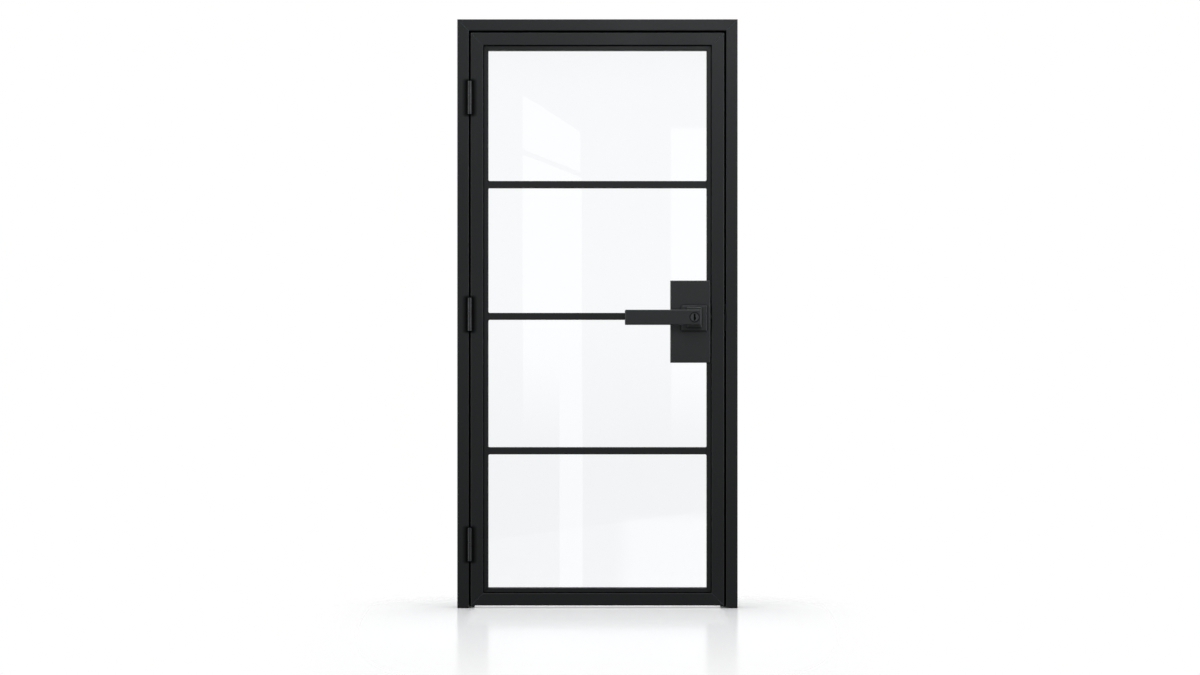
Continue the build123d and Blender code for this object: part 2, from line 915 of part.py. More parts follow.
with BuildPart() as front_lock_cover:
    block((cover_left, cover_right), (leaf_front, case_front), (cover_bottom, cover_top))
    fillet(front_lock_cover.faces().sort_by(Axis.Y)[0].edges(), radius=cover_radius)
    block(
        (cover_left + cover_sheet, cover_right - cover_sheet),
        (leaf_front + cover_sheet, case_front + overrun),
        (cover_bottom + cover_sheet, cover_top - cover_sheet),
        Mode.SUBTRACT,
    )
    discs_y(
        leaf_front - overrun, case_front, spindle_hole, [(handle_x, handle_z)], Mode.SUBTRACT
    )
    discs_y(leaf_front - overrun, case_front, bolt_radius + moving, bolt_spots, Mode.SUBTRACT)
    discs_x(
        cover_right - cover_sheet - overrun,
        cover_right + overrun,
        tube_radius + moving,
        [(0, handle_z)],
        Mode.SUBTRACT,
    )
keep(front_lock_cover, "front_lock_cover")

with BuildPart() as back_lock_cover:
    block(
        (case_left, rebate - lid_clearance),
        (lid_front, leaf_back),
        (case_bottom, case_top),
    )
    lid_cut = (lid_front - overrun, leaf_back + overrun)
    discs_y(*lid_cut, spindle_hole, [(handle_x, handle_z)], Mode.SUBTRACT)
    discs_y(*lid_cut, bolt_radius + moving, bolt_spots, Mode.SUBTRACT)
keep(back_lock_cover, "back_lock_cover")


def around_handle(width, height, drop=0):
    """Limits of a rectangle centred on the spindle, or hung a little below it."""
    across = (handle_x - width / 2, handle_x + width / 2)
    middle = handle_z - drop
    return across, (middle - height / 2, middle + height / 2)


for rose_name, side in (("front_rose", -1), ("back_rose", 1)):
    rose_x, rose_z = around_handle(rose_size, rose_size, rose_drop)
    collar_x, collar_z = around_handle(collar_width, collar_height)
    with BuildPart() as rose:
        block(rose_x, span(side, leaf_back, rose_top), rose_z)
        fillet(rose.faces().sort_by(Axis.Y)[0 if side < 0 else -1].edges(), radius=rose_radius)
        block(collar_x, span(side, leaf_back, collar_top), collar_z)
        fillet(rose.faces().sort_by(Axis.Y)[0 if side < 0 else -1].edges(), radius=rose_radius)
        discs_y(
            *span(side, leaf_back - overrun, collar_top + overrun),
            neck_radius + running,
            [(handle_x, handle_z)],
            Mode.SUBTRACT,
        )
        shank_end = leaf_back + bolt_bite if side < 0 else rose_top
        shank_cut = span(side, leaf_back - overrun, shank_end)
        discs_y(*shank_cut, bolt_radius, bolt_spots, Mode.SUBTRACT)
        if side > 0:
            head_cut = span(side, rose_top - bolt_head_depth, rose_top + overrun)
            discs_y(*head_cut, bolt_head, bolt_spots, Mode.SUBTRACT)
    keep(rose, rose_name)

with BuildPart() as through_bolts:
    discs_y(-leaf_back - bolt_bite, rose_top - bolt_head_depth, bolt_radius, bolt_spots)
    discs_y(rose_top - bolt_head_depth, rose_top, bolt_head, bolt_spots)
    with BuildSketch(Plane.XZ.offset(-rose_top)):
        with Locations(*bolt_spots):
            RegularPolygon(screw_socket, 6)
    extrude(amount=socket_depth, mode=Mode.SUBTRACT)
keep(through_bolts, "through_bolts")

# Latch: tube and housing, faceplate, screws and the sprung bolt
with BuildPart() as latch_case:
    block(
        (handle_x - housing_back, tube_start),
        (-housing_half, housing_half),
        (handle_z - housing_below, handle_z + housing_above),
    )
    discs_x(tube_start, half_leaf - face_depth, tube_radius, [(0, handle_z)])
    block(
        (handle_x - housing_back + tube_wall, tube_start - tube_wall),
        (-housing_half + tube_wall, housing_half - tube_wall),
        (handle_z - housing_below + tube_wall, handle_z + housing_above - tube_wall),
        Mode.SUBTRACT,
    )
    discs_x(
        tube_start, half_leaf + overrun, tube_radius - tube_wall, [(0, handle_z)], Mode.SUBTRACT
    )
    discs_x(
        tube_start - overrun, tube_start + overrun, rod_radius + moving, [(0, handle_z)], Mode.SUBTRACT
    )
    discs_y(
        -housing_half - overrun,
        housing_half + overrun,
        follower_radius + moving,
        [(handle_x, handle_z)],
        Mode.SUBTRACT,
    )
keep(latch_case, "latch_case")

with BuildPart() as latch_faceplate:
    block((half_leaf - face_depth, half_leaf), face_limits_y, face_limits_z)
    block(
        (half_leaf - face_depth - overrun, half_leaf + overrun),
        (-latch_width / 2 - moving, latch_width / 2 + moving),
        (handle_z - latch_height / 2 - moving, handle_z + latch_height / 2 + moving),
        Mode.SUBTRACT,
    )
    screws_x(half_leaf, -1, face_spots, Mode.SUBTRACT)
keep(latch_faceplate, "latch_faceplate")

with BuildPart() as faceplate_screws:
    screws_x(half_leaf, -1, face_spots)
    screw_sockets(half_leaf, -1, face_spots)
keep(faceplate_screws, "faceplate_screws")

hook_x = handle_x - finger_width / 2 - moving
tail_bottom = handle_z + finger_reach + tail_lift
with BuildPart() as latch_bolt:
    with BuildSketch(Plane.XY.offset(handle_z - latch_height / 2)):
        section(
            [
                (latch_back, -latch_width / 2),
                (latch_tip, -latch_width / 2),
                (latch_tip, -latch_width / 2 + latch_nose),
                (latch_tip - latch_bevel, latch_width / 2),
                (latch_back, latch_width / 2),
            ]
        )
    extrude(amount=latch_height)
    discs_x(tail_x, latch_back, rod_radius, [(0, handle_z)])
    block(
        (tail_x, tail_x + tail_plate),
        (-tail_depth / 2, tail_depth / 2),
        (handle_z - rod_radius, tail_bottom + tail_rise),
    )
    block(
        (hook_x - hook_width, tail_x),
        (-tail_depth / 2, tail_depth / 2),
        (tail_bottom, tail_bottom + tail_rise),
    )
    block(
        (hook_x - hook_width, hook_x),
        (-tail_depth / 2, tail_depth / 2),
        (tail_bottom - hook_reach, tail_bottom),
    )
keep(latch_bolt, "latch_bolt")

# Lever set
spindle_x, spindle_z = around_handle(spindle_width, spindle_width)
with BuildPart() as follower:
    discs_y(-housing_half, housing_half, follower_radius, [(handle_x, handle_z)])
    block(
        (handle_x - finger_width / 2, handle_x + finger_width / 2),
        (-finger_depth / 2, finger_depth / 2),
        (handle_z, handle_z + finger_reach),
    )
    block(spindle_x, (-housing_half - overrun, housing_half + overrun), spindle_z, Mode.SUBTRACT)
keep(follower, "follower")

with BuildPart() as spindle:
    block(spindle_x, (-spindle_end, spindle_end), spindle_z)
    discs_y(
        -spindle_end - overrun,
        spindle_end + overrun,
        spindle_bore,
        [(handle_x, handle_z)],
        Mode.SUBTRACT,
    )
keep(spindle, "spindle")

for lever_name, side, pocket_radius in (
    ("front_lever", -1, cylinder_radius),
    ("back_lever", 1, button_radius + moving),
):
    with BuildPart() as lever:
        block(
            (handle_x - lever_reach, handle_x + lever_tail),
            span(side, lever_back, lever_face),
            (handle_z - lever_height / 2, handle_z + lever_height / 2),
        )
        fillet(lever.edges(), radius=lever_radius)
        discs_y(*span(side, neck_end, lever_back + overrun), neck_radius, [(handle_x, handle_z)])
        discs_y(
            *span(side, cylinder_back, lever_face + overrun),
            pocket_radius,
            [(handle_x, handle_z)],
            Mode.SUBTRACT,
        )
        mouth = lever.edges().filter_by(GeomType.CIRCLE).sort_by(Axis.Y)[0 if side < 0 else -1]
        chamfer(mouth, length=pocket_bevel)
        discs_y(
            *span(side, neck_end, cylinder_back + overrun),
            spindle_bore,
            [(handle_x, handle_z)],
            Mode.SUBTRACT,
        )
        block(spindle_x, span(side, neck_end - overrun, spindle_end), spindle_z, Mode.SUBTRACT)
    keep(lever, lever_name)

with BuildPart() as key_cylinder:
    with BuildSketch(Plane.YZ.offset(handle_x)):
        section(
            [
                (-cylinder_face, handle_z),
                (-cylinder_face, handle_z + cylinder_radius - cylinder_bevel),
                (-cylinder_face + cylinder_bevel, handle_z + cylinder_radius),
                (-cylinder_back, handle_z + cylinder_radius),
                (-cylinder_back, handle_z),
            ]
        )
    revolve(axis=Axis((handle_x, 0, handle_z), (0, 1, 0)))
    discs_y(
        -cylinder_face - overrun,
        -cylinder_back - cylinder_floor,
        plug_radius + running,
        [(handle_x, handle_z)],
        Mode.SUBTRACT,
    )
    discs_y(
        -cylinder_face, -cylinder_back + overrun, spindle_bore, [(handle_x, handle_z)], Mode.SUBTRACT
    )
keep(key_cylinder, "key_cylinder")

plug_back = -cylinder_back - cylinder_floor - running
with BuildPart() as key_plug:
    discs_y(-cylinder_face, plug_back, plug_radius, [(handle_x, handle_z)])
    discs_y(plug_back, plug_back + plug_tail, tail_radius, [(handle_x, handle_z)])
    key_x, key_z = around_handle(key_width, key_height)
    block(key_x, (-cylinder_face - overrun, -cylinder_face + key_depth), key_z, Mode.SUBTRACT)
    block(
        (key_x[1], key_x[1] + ward_width),
        (-cylinder_face - overrun, -cylinder_face + key_depth),
        (handle_z - ward_height, handle_z),
        Mode.SUBTRACT,
    )
keep(key_plug, "key_plug")

button_back = cylinder_back + running
with BuildPart() as turn_button:
    discs_y(button_back, button_back + button_floor, button_radius, [(handle_x, handle_z)])
    grip_x, grip_z = around_handle(button_grip, grip_length)
    block(grip_x, (button_back, cylinder_face), grip_z)
    fillet(turn_button.faces().sort_by(Axis.Y)[-1].edges(), radius=grip_radius)
    discs_y(button_back - plug_tail, button_back, tail_radius, [(handle_x, handle_z)])
keep(turn_button, "turn_button")
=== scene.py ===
"""Finishes, weld beads and a plain studio for a black framed glass door."""

import math

import bmesh
import bpy
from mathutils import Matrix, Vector


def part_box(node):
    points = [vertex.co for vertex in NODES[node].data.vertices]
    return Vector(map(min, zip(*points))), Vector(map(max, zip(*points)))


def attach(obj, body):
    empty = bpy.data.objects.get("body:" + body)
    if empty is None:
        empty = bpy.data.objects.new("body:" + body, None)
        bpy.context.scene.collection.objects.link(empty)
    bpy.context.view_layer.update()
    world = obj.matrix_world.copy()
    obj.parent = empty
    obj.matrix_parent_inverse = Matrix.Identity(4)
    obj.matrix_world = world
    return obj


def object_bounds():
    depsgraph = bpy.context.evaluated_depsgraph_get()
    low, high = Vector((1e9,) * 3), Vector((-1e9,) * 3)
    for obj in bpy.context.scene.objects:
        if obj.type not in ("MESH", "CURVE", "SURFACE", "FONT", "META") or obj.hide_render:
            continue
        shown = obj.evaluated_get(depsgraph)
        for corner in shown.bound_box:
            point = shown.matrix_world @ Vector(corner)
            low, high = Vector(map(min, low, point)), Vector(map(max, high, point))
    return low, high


bl_info = {
    "name": "Black Framed Glass Door",
    "version": (1, 0, 0),
    "blender": (4, 5, 0),
    "location": "View3D > Sidebar > Door",
    "description": "Finishes, weld beads and a plain studio for a black framed glass door",
    "category": "Object",
}

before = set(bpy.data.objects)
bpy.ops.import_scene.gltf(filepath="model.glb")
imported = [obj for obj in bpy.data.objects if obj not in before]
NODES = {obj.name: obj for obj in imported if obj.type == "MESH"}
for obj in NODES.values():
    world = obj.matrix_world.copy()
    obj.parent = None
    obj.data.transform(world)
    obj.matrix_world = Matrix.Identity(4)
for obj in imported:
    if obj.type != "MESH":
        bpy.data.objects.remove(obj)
CAD_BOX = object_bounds()

HINGE_NODES = (
    "top_jamb_flap",
    "middle_jamb_flap",
    "bottom_jamb_flap",
    "top_leaf_flap",
    "middle_leaf_flap",
    "bottom_leaf_flap",
    "hinge_collars",
    "lower_hinge_caps",
    "upper_hinge_caps",
)
HINGE_STEEL_NODES = ("hinge_pins", "jamb_flap_screws", "leaf_flap_screws")
COATED_NODES = (
    "hinge_jamb",
    "strike_jamb",
    "frame_head",
    "hinge_stile",
    "lock_stile",
    "top_rail",
    "bottom_rail",
    "upper_bar",
    "middle_bar",
    "lower_bar",
    "bottom_beads",
    "lower_beads",
    "upper_beads",
    "top_beads",
)
COVER_NODES = ("front_lock_cover", "back_lock_cover", "lock_case")
LEVER_NODES = ("front_lever", "back_lever", "front_rose", "back_rose")
PLUG_NODES = ("key_plug", "turn_button")
LATCH_NODES = (
    "latch_bolt",
    "latch_case",
    "latch_faceplate",
    "faceplate_screws",
    "strike_plate",
    "strike_screws",
)
INNER_STEEL_NODES = ("strike_box", "spindle", "follower", "through_bolts")
PANE_NODES = ("bottom_pane", "lower_pane", "upper_pane", "top_pane")
TAPE_NODES = ("bottom_tape", "lower_tape", "upper_tape", "top_tape", "setting_blocks")
SEAL_NODES = ("hinge_jamb_seal", "strike_jamb_seal", "head_seal")

WHITE = (1.0, 1.0, 1.0, 1.0)
DUST_COLOUR = (0.22, 0.215, 0.21, 1.0)
RUBBER_DUST_COLOUR = (0.2, 0.2, 0.2, 1.0)
LAMP_COLOUR = (0.965, 1.0, 1.015)

# Shares of the coat's colour for the painted highlight on its edges and on the mitred seams, and
# for the painted shade in its joints and crevices.
EDGE_HIGHLIGHT = 4.0
MITRE_HIGHLIGHT = 6.0
PAINTED_SHADE = 0.05

# Parts of the range of noise that a finish uses.
NOISE_CORE = (0.38, 0.62)
NOISE_MAIN = (0.3, 0.7)
NOISE_UPPER = (0.35, 0.7)
NOISE_WIDE = (0.25, 0.75)

# Cards whose reflections show in the panes: level of light, corners where the reflection shows,
# across and up, and soft edges at the sides, foot and top.
CARDS = {
    "room_card": (
        1.06,
        ((-0.704, 0.430), (0.675, 0.430), (0.675, 2.180), (-0.704, 2.180)),
        (0.0, 0.417, 0.2),
    ),
    "upper_card": (
        1.10,
        ((-0.271, 1.638), (-0.055, 1.555), (-0.058, 1.700), (-0.271, 1.833)),
        (0.03, 0.0, 0.0),
    ),
    "tall_card": (
        1.15,
        ((-0.267, 0.560), (-0.050, 0.560), (-0.053, 1.536), (-0.271, 1.619)),
        (0.03, 0.34, 0.0),
    ),
    "strip_card": (
        1.30,
        ((-0.138, 0.017), (-0.048, 0.017), (-0.048, 0.920), (-0.138, 0.920)),
        (0.06, 0.0, 0.399),
    ),
    "side_card": (
        1.20,
        ((0.259, 0.520), (0.461, 0.520), (0.461, 1.724), (0.259, 1.724)),
        (0.05, 0.30, 0.02),
    ),
    "floor_card": (
        0.40,
        ((-0.466, -0.006), (0.461, -0.006), (0.461, 0.355), (-0.466, 0.231)),
        (0.0, 0.0, 0.0),
    ),
    "low_card": (
        1.10,
        ((0.045, -0.006), (0.484, -0.006), (0.484, 0.345), (0.045, 0.345)),
        (0.2, 0.0, 0.135),
    ),
}


class DoorFinishSettings(bpy.types.PropertyGroup):
    """Colours and grain of the finishes."""

    coat_colour: bpy.props.FloatVectorProperty(
        name="Coat Colour",
        description="Colour of the powder coat on the steel",
        subtype="COLOR",
        min=0,
        max=1,
        default=(0.0070, 0.0086, 0.0093),
    )
    coat_roughness: bpy.props.FloatProperty(
        name="Coat Roughness",
        description="How far the powder coat spreads a reflection",
        subtype="FACTOR",
        min=0,
        max=1,
        default=0.47,
    )
    coat_grain: bpy.props.FloatProperty(
        name="Coat Grain",
        description="Size of the orange peel in the powder coat",
        unit="LENGTH",
        default=0.0016,
    )
    lever_colour: bpy.props.FloatVectorProperty(
        name="Lever Colour",
        description="Colour of the blasted and coated lever set",
        subtype="COLOR",
        min=0,
        max=1,
        default=(0.0300, 0.0325, 0.0338),
    )
    hinge_colour: bpy.props.FloatVectorProperty(
        name="Hinge Colour",
        description="Colour of the painted hinges",
        subtype="COLOR",
        min=0,
        max=1,
        default=(0.0300, 0.0323, 0.0338),
    )
    cylinder_colour: bpy.props.FloatVectorProperty(
        name="Cylinder Colour",
        description="Colour of the turned lock cylinder",
        subtype="COLOR",
        min=0,
        max=1,
        default=(0.092, 0.096, 0.100),
    )
    latch_colour: bpy.props.FloatVectorProperty(
        name="Latch Colour",
        description="Colour of the blackened latch and its plates",
        subtype="COLOR",
        min=0,
        max=1,
        default=(0.022, 0.023, 0.024),
    )
    steel_colour: bpy.props.FloatVectorProperty(
        name="Steel Colour",
        description="Colour of the bright pins, spindle and screws",
        subtype="COLOR",
        min=0,
        max=1,
        default=(0.50, 0.50, 0.51),
    )
    rubber_colour: bpy.props.FloatVectorProperty(
        name="Rubber Colour",
        description="Colour of the seals and the glazing tape",
        subtype="COLOR",
        min=0,
        max=1,
        default=(0.012, 0.012, 0.0125),
    )
    glass_colour: bpy.props.FloatVectorProperty(
        name="Glass Colour",
        description="Tint of the panes",
        subtype="COLOR",
        min=0,
        max=1,
        default=(0.927, 0.938, 0.950),
    )


class DoorWeldSettings(bpy.types.PropertyGroup):
    """Sizes of the weld beads at the corners of the glazing lips."""

    leg: bpy.props.FloatProperty(
        name="Leg",
        description="Length of a bead's foot on each of the two faces",
        unit="LENGTH",
        default=0.0045,
    )
    root: bpy.props.FloatProperty(
        name="Root",
        description="Depth of a bead into the joint",
        unit="LENGTH",
        default=0.0022,
    )
    length: bpy.props.FloatProperty(
        name="Length",
        description="Length of a bead through the depth of the lip",
        unit="LENGTH",
        default=0.0088,
    )
    ripple: bpy.props.FloatProperty(
        name="Ripple",
        description="Distance from one ripple of a bead to the next",
        unit="LENGTH",
        default=0.0016,
    )


class DoorStageSettings(bpy.types.PropertyGroup):
    """Camera, floor and light of the studio."""

    camera_place: bpy.props.FloatVectorProperty(
        name="Camera Place",
        description="Where the level camera stands",
        subtype="XYZ",
        unit="LENGTH",
        default=(0.0091, -10.025, 0.965),
    )
    camera_lens: bpy.props.FloatProperty(
        name="Camera Lens",
        description="Focal length in millimetres on a 36 mm wide sensor",
        default=84.14,
    )
    floor_size: bpy.props.FloatProperty(
        name="Floor Size",
        description="Side of the square floor",
        unit="LENGTH",
        default=24.0,
    )
    floor_colour: bpy.props.FloatVectorProperty(
        name="Floor Colour",
        description="Colour of the polished pale floor",
        subtype="COLOR",
        min=0,
        max=1,
        default=(0.978, 0.962, 0.960),
    )
    surround: bpy.props.FloatProperty(
        name="Surround",
        description="Level of the soft light from all round",
        min=0,
        default=0.305,
    )
    front_level: bpy.props.FloatProperty(
        name="Front Level",
        description="Share of the surround that comes from the camera's side",
        subtype="FACTOR",
        min=0,
        max=1,
        default=0.32,
    )
    low_level: bpy.props.FloatProperty(
        name="Low Level",
        description="Share of the surround that comes up from below",
        subtype="FACTOR",
        min=0,
        max=1,
        default=0.4,
    )


def add_node(tree, kind, inputs=None, **settings):
    """Add a node, set its options, and link or set the inputs that are named or numbered."""
    node = tree.nodes.new(kind)
    for name, value in settings.items():
        setattr(node, name, value)
    for key, value in (inputs or {}).items():
        if isinstance(value, bpy.types.NodeSocket):
            tree.links.new(value, node.inputs[key])
        else:
            node.inputs[key].default_value = value
    return node


def math_node(tree, operation, first, second=0.0, clamp=False):
    """The result of one sum."""
    inputs = {0: first, 1: second}
    node = add_node(tree, "ShaderNodeMath", inputs, operation=operation, use_clamp=clamp)
    return node.outputs[0]


def product(tree, first, *others):
    """Values multiplied together."""
    for other in others:
        first = math_node(tree, "MULTIPLY", first, other)
    return first


def apart(tree, first, second):
    """How far one value is from another."""
    return math_node(tree, "ABSOLUTE", math_node(tree, "SUBTRACT", first, second))


def past(tree, value, limit):
    """How far a value is past a limit, and 0 before it."""
    return math_node(tree, "MAXIMUM", math_node(tree, "SUBTRACT", value, limit), 0.0)


def axes(tree, vector):
    """The three shares of a vector."""
    return add_node(tree, "ShaderNodeSeparateXYZ", {0: vector}).outputs


def step_length(tree, across, along):
    """Length of a step that goes across and along."""
    step = add_node(tree, "ShaderNodeCombineXYZ", {0: across, 1: along}).outputs["Vector"]
    return add_node(tree, "ShaderNodeVectorMath", {0: step}, operation="LENGTH").outputs["Value"]


def ramp(tree, value, from_low, from_high, to_low, to_high, smooth=False):
    """A value taken from one range to another and held at its ends."""
    node = add_node(
        tree,
        "ShaderNodeMapRange",
        {0: value, 1: from_low, 2: from_high, 3: to_low, 4: to_high},
        interpolation_type="SMOOTHSTEP" if smooth else "LINEAR",
    )
    return node.outputs[0]


def sized_noise(tree, place, size, detail, roughness=0.5):
    """Noise with patches of a given size."""
    scale = math_node(tree, "DIVIDE", 1.0, size)
    noise = add_node(
        tree,
        "ShaderNodeTexNoise",
        {"Vector": place, "Scale": scale, "Detail": detail, "Roughness": roughness},
    )
    return noise.outputs["Fac"]


def blend_colours(tree, factor, first, second):
    """A colour between two others."""
    node = tree.nodes.new("ShaderNodeMix")
    node.data_type = "RGBA"
    sockets = {socket.identifier: socket for socket in node.inputs}
    for key, value in (("Factor_Float", factor), ("A_Color", first), ("B_Color", second)):
        if isinstance(value, bpy.types.NodeSocket):
            tree.links.new(value, sockets[key])
        else:
            sockets[key].default_value = value
    return next(socket for socket in node.outputs if socket.identifier == "Result_Color")


def shade(colour, factor):
    """A colour made darker or lighter, with full cover."""
    return (*[min(1.0, channel * factor) for channel in colour], 1.0)


def tones(tree, factor, colour, start, end):
    """A colour that goes from one share of itself to another."""
    return blend_colours(tree, factor, shade(colour, start), shade(colour, end))


def effect_group(name, inputs, outputs):
    """An empty shader node group with its sockets."""
    tree = bpy.data.node_groups.new(name, "ShaderNodeTree")
    for label, kind, value in inputs:
        socket = tree.interface.new_socket(label, in_out="INPUT", socket_type=kind)
        socket.default_value = value
    for label, kind in outputs:
        tree.interface.new_socket(label, in_out="OUTPUT", socket_type=kind)
    given = tree.nodes.new("NodeGroupInput").outputs
    result = tree.nodes.new("NodeGroupOutput").inputs
    return tree, given, result


def grain_group():
    """Fine grain of a surface and slow clouds over it, in the part's own frame."""
    found = bpy.data.node_groups.get("Surface Grain")
    if found:
        return found
    tree, given, result = effect_group(
        "Surface Grain",
        [
            ("Fine Size", "NodeSocketFloat", 0.0016),
            ("Cloud Size", "NodeSocketFloat", 0.3),
            ("Stretch", "NodeSocketVector", (1.0, 1.0, 1.0)),
        ],
        [("Fine", "NodeSocketFloat"), ("Cloud", "NodeSocketFloat")],
    )
    fine_detail, cloud_detail, grit = 2.0, 4.0, 0.55
    place = add_node(tree, "ShaderNodeTexCoord").outputs["Object"]
    inputs = {0: place, 1: given["Stretch"]}
    drawn = add_node(tree, "ShaderNodeVectorMath", inputs, operation="MULTIPLY").outputs["Vector"]
    fine = sized_noise(tree, drawn, given["Fine Size"], fine_detail, grit)
    cloud = sized_noise(tree, place, given["Cloud Size"], cloud_detail, grit)
    tree.links.new(fine, result["Fine"])
    tree.links.new(cloud, result["Cloud"])
    return tree


def patchy_mask(tree, given, mask, place, detail, noise_range, least):
    """A mask broken up by noise down to a least share, times the amount asked for."""
    noise = sized_noise(tree, place, given["Patch Size"], detail)
    patches = ramp(tree, noise, *noise_range, least, 1.0)
    return math_node(tree, "MULTIPLY", product(tree, mask, patches), given["Amount"], clamp=True)


def edge_rub_and_sheen_group():
    """Mask of rounded edges, where a surface turns away from the part's three directions: rubbed
    wear on steel, and a painted highlight on the coat.
    """
    found = bpy.data.node_groups.get("Edge Rub And Sheen")
    if found:
        return found
    tree, given, result = effect_group(
        "Edge Rub And Sheen",
        [("Amount", "NodeSocketFloat", 1.0), ("Patch Size", "NodeSocketFloat", 0.03)],
        [("Mask", "NodeSocketFloat")],
    )
    # Largest share of the normal along one direction.
    on_edge, on_face = 0.74, 0.985
    coordinates = add_node(tree, "ShaderNodeTexCoord").outputs
    turned = add_node(
        tree, "ShaderNodeVectorMath", {0: coordinates["Normal"]}, operation="ABSOLUTE"
    )
    split = axes(tree, turned.outputs["Vector"])
    widest = math_node(tree, "MAXIMUM", split["X"], split["Y"])
    widest = math_node(tree, "MAXIMUM", widest, split["Z"])
    rounded = ramp(tree, widest, on_edge, on_face, 1.0, 0.0, smooth=True)
    place = coordinates["Object"]
    mask = patchy_mask(
        tree, given, rounded, place, detail=5.0, noise_range=NOISE_CORE, least=0.45
    )
    tree.links.new(mask, result["Mask"])
    return tree


def dust_group():
    """Mask of the thin dust that settles on faces that look up."""
    found = bpy.data.node_groups.get("Settled Dust")
    if found:
        return found
    tree, given, result = effect_group(
        "Settled Dust",
        [("Amount", "NodeSocketFloat", 0.3), ("Patch Size", "NodeSocketFloat", 0.02)],
        [("Mask", "NodeSocketFloat")],
    )
    # Upward share of the normal.
    leaning, level = 0.6, 0.98
    coordinates = add_node(tree, "ShaderNodeTexCoord").outputs
    rise = axes(tree, coordinates["Normal"])["Z"]
    upward = ramp(tree, rise, leaning, level, 0.0, 1.0, smooth=True)
    place = coordinates["Object"]
    mask = patchy_mask(
        tree, given, upward, place, detail=6.0, noise_range=NOISE_UPPER, least=0.2
    )
    tree.links.new(mask, result["Mask"])
    return tree


def gap_shade_mask(tree, given, outside, depth, turned):
    """Painted shade in the narrow gap round the leaf and in the crease in the leaf's face."""
    crease_half = 0.0008
    fade_start, fade_end = 0.0004, 0.0012
    # Backward share of the normal, on faces that look to the front and to the side.
    facing, sideways = -0.9, -0.3
    half_gap = product(tree, given["Gap Width"], 0.5)
    bands = []
    # A band's middle and half width, the depths where it starts and is full, and its strength on
    # faces that look sideways.
    for middle, half, start, full, flank in (
        (half_gap, half_gap, 0.0016, 0.0040, 0.7),
        (given["Crease Middle"], crease_half, 0.0005, 0.0014, 1.0),
    ):
        off = math_node(tree, "SUBTRACT", apart(tree, outside, middle), half)
        band = ramp(tree, off, fade_start, fade_end, 1.0, 0.0)
        deep = ramp(tree, depth, start, full, 0.0, 1.0, smooth=True)
        side = ramp(tree, turned, facing, sideways, 1.0, flank)
        bands.append(product(tree, band, deep, side))
    return math_node(tree, "MAXIMUM", *bands)


def hinge_shade_mask(tree, given, place, depth):
    """Painted shade on the surfaces close about the hinges, near the front."""
    knuckle_half = 0.0095
    reach = 0.019
    # The shade fades this much faster past a hinge's ends than beside it.
    end_haste = 1.6
    # Depths behind the leaf's face between which the shade ends.
    front, back = 0.006, 0.014
    heights = axes(tree, given["Hinge Heights"])
    along = apart(tree, place["Z"], heights["X"])
    for hinge in ("Y", "Z"):
        along = math_node(tree, "MINIMUM", along, apart(tree, place["Z"], heights[hinge]))
    beyond = past(tree, along, given["Hinge Half Length"])
    beside = past(tree, apart(tree, place["X"], given["Hinge Axis"]), knuckle_half)
    away = step_length(tree, beside, product(tree, beyond, end_haste))
    near = ramp(tree, away, 0.0, reach, 1.0, 0.0)
    return product(tree, near, ramp(tree, depth, front, back, 1.0, 0.0))


def mitre_highlight_mask(tree, sides, above, below, depth):
    """A painted highlight along the seams on the diagonals of the corners, on the front faces."""
    seam_half, seam_end = 0.0018, 0.0030
    face_depth, face_end = 0.0018, 0.0030
    # How far inside the leaf's edge the seams end.
    inner_end, inner_start = -0.066, -0.064
    off = math_node(tree, "MINIMUM", apart(tree, sides, above), apart(tree, sides, below))
    seam = ramp(tree, off, seam_half, seam_end, 1.0, 0.0)
    corner = ramp(tree, sides, inner_end, inner_start, 0.0, 1.0)
    shallow = ramp(tree, depth, face_depth, face_end, 1.0, 0.0)
    return product(tree, seam, corner, shallow)


def joint_group():
    """Masks of painted shade in the gap round the leaf and about the hinges, and of a painted
    highlight on the mitred seams.
    """
    found = bpy.data.node_groups.get("Joint Shade")
    if found:
        return found
    tree, given, result = effect_group(
        "Joint Shade",
        [
            ("Half Width", "NodeSocketFloat", 0.452),
            ("Top", "NodeSocketFloat", 2.052),
            ("Bottom", "NodeSocketFloat", 0.009),
            ("Gap Width", "NodeSocketFloat", 0.007),
            ("Crease Middle", "NodeSocketFloat", -0.046),
            ("Face", "NodeSocketFloat", -0.025),
            ("Hinge Axis", "NodeSocketFloat", -0.4555),
            ("Hinge Heights", "NodeSocketVector", (1.8, 1.0, 0.2)),
            ("Hinge Half Length", "NodeSocketFloat", 0.059),
        ],
        [("Gap", "NodeSocketFloat"), ("Hinge", "NodeSocketFloat"), ("Mitre", "NodeSocketFloat")],
    )
    coordinates = add_node(tree, "ShaderNodeTexCoord").outputs
    place = axes(tree, coordinates["Object"])
    turned = axes(tree, coordinates["Normal"])["Y"]
    across = math_node(tree, "ABSOLUTE", place["X"])
    sides = math_node(tree, "SUBTRACT", across, given["Half Width"])
    above = math_node(tree, "SUBTRACT", place["Z"], given["Top"])
    below = math_node(tree, "SUBTRACT", given["Bottom"], place["Z"])
    outside = math_node(tree, "MAXIMUM", sides, math_node(tree, "MAXIMUM", above, below))
    depth = math_node(tree, "SUBTRACT", place["Y"], given["Face"])
    tree.links.new(gap_shade_mask(tree, given, outside, depth, turned), result["Gap"])
    tree.links.new(hinge_shade_mask(tree, given, place, depth), result["Hinge"])
    tree.links.new(mitre_highlight_mask(tree, sides, above, below, depth), result["Mitre"])
    return tree


def place_group(tree, group, values):
    """Place a node group with its own values."""
    return add_node(tree, "ShaderNodeGroup", values, node_tree=group).outputs


def show(tree, shader):
    """Make a shader the one that the finish shows."""
    output = next(node for node in tree.nodes if node.type == "OUTPUT_MATERIAL")
    tree.links.new(shader, output.inputs["Surface"])


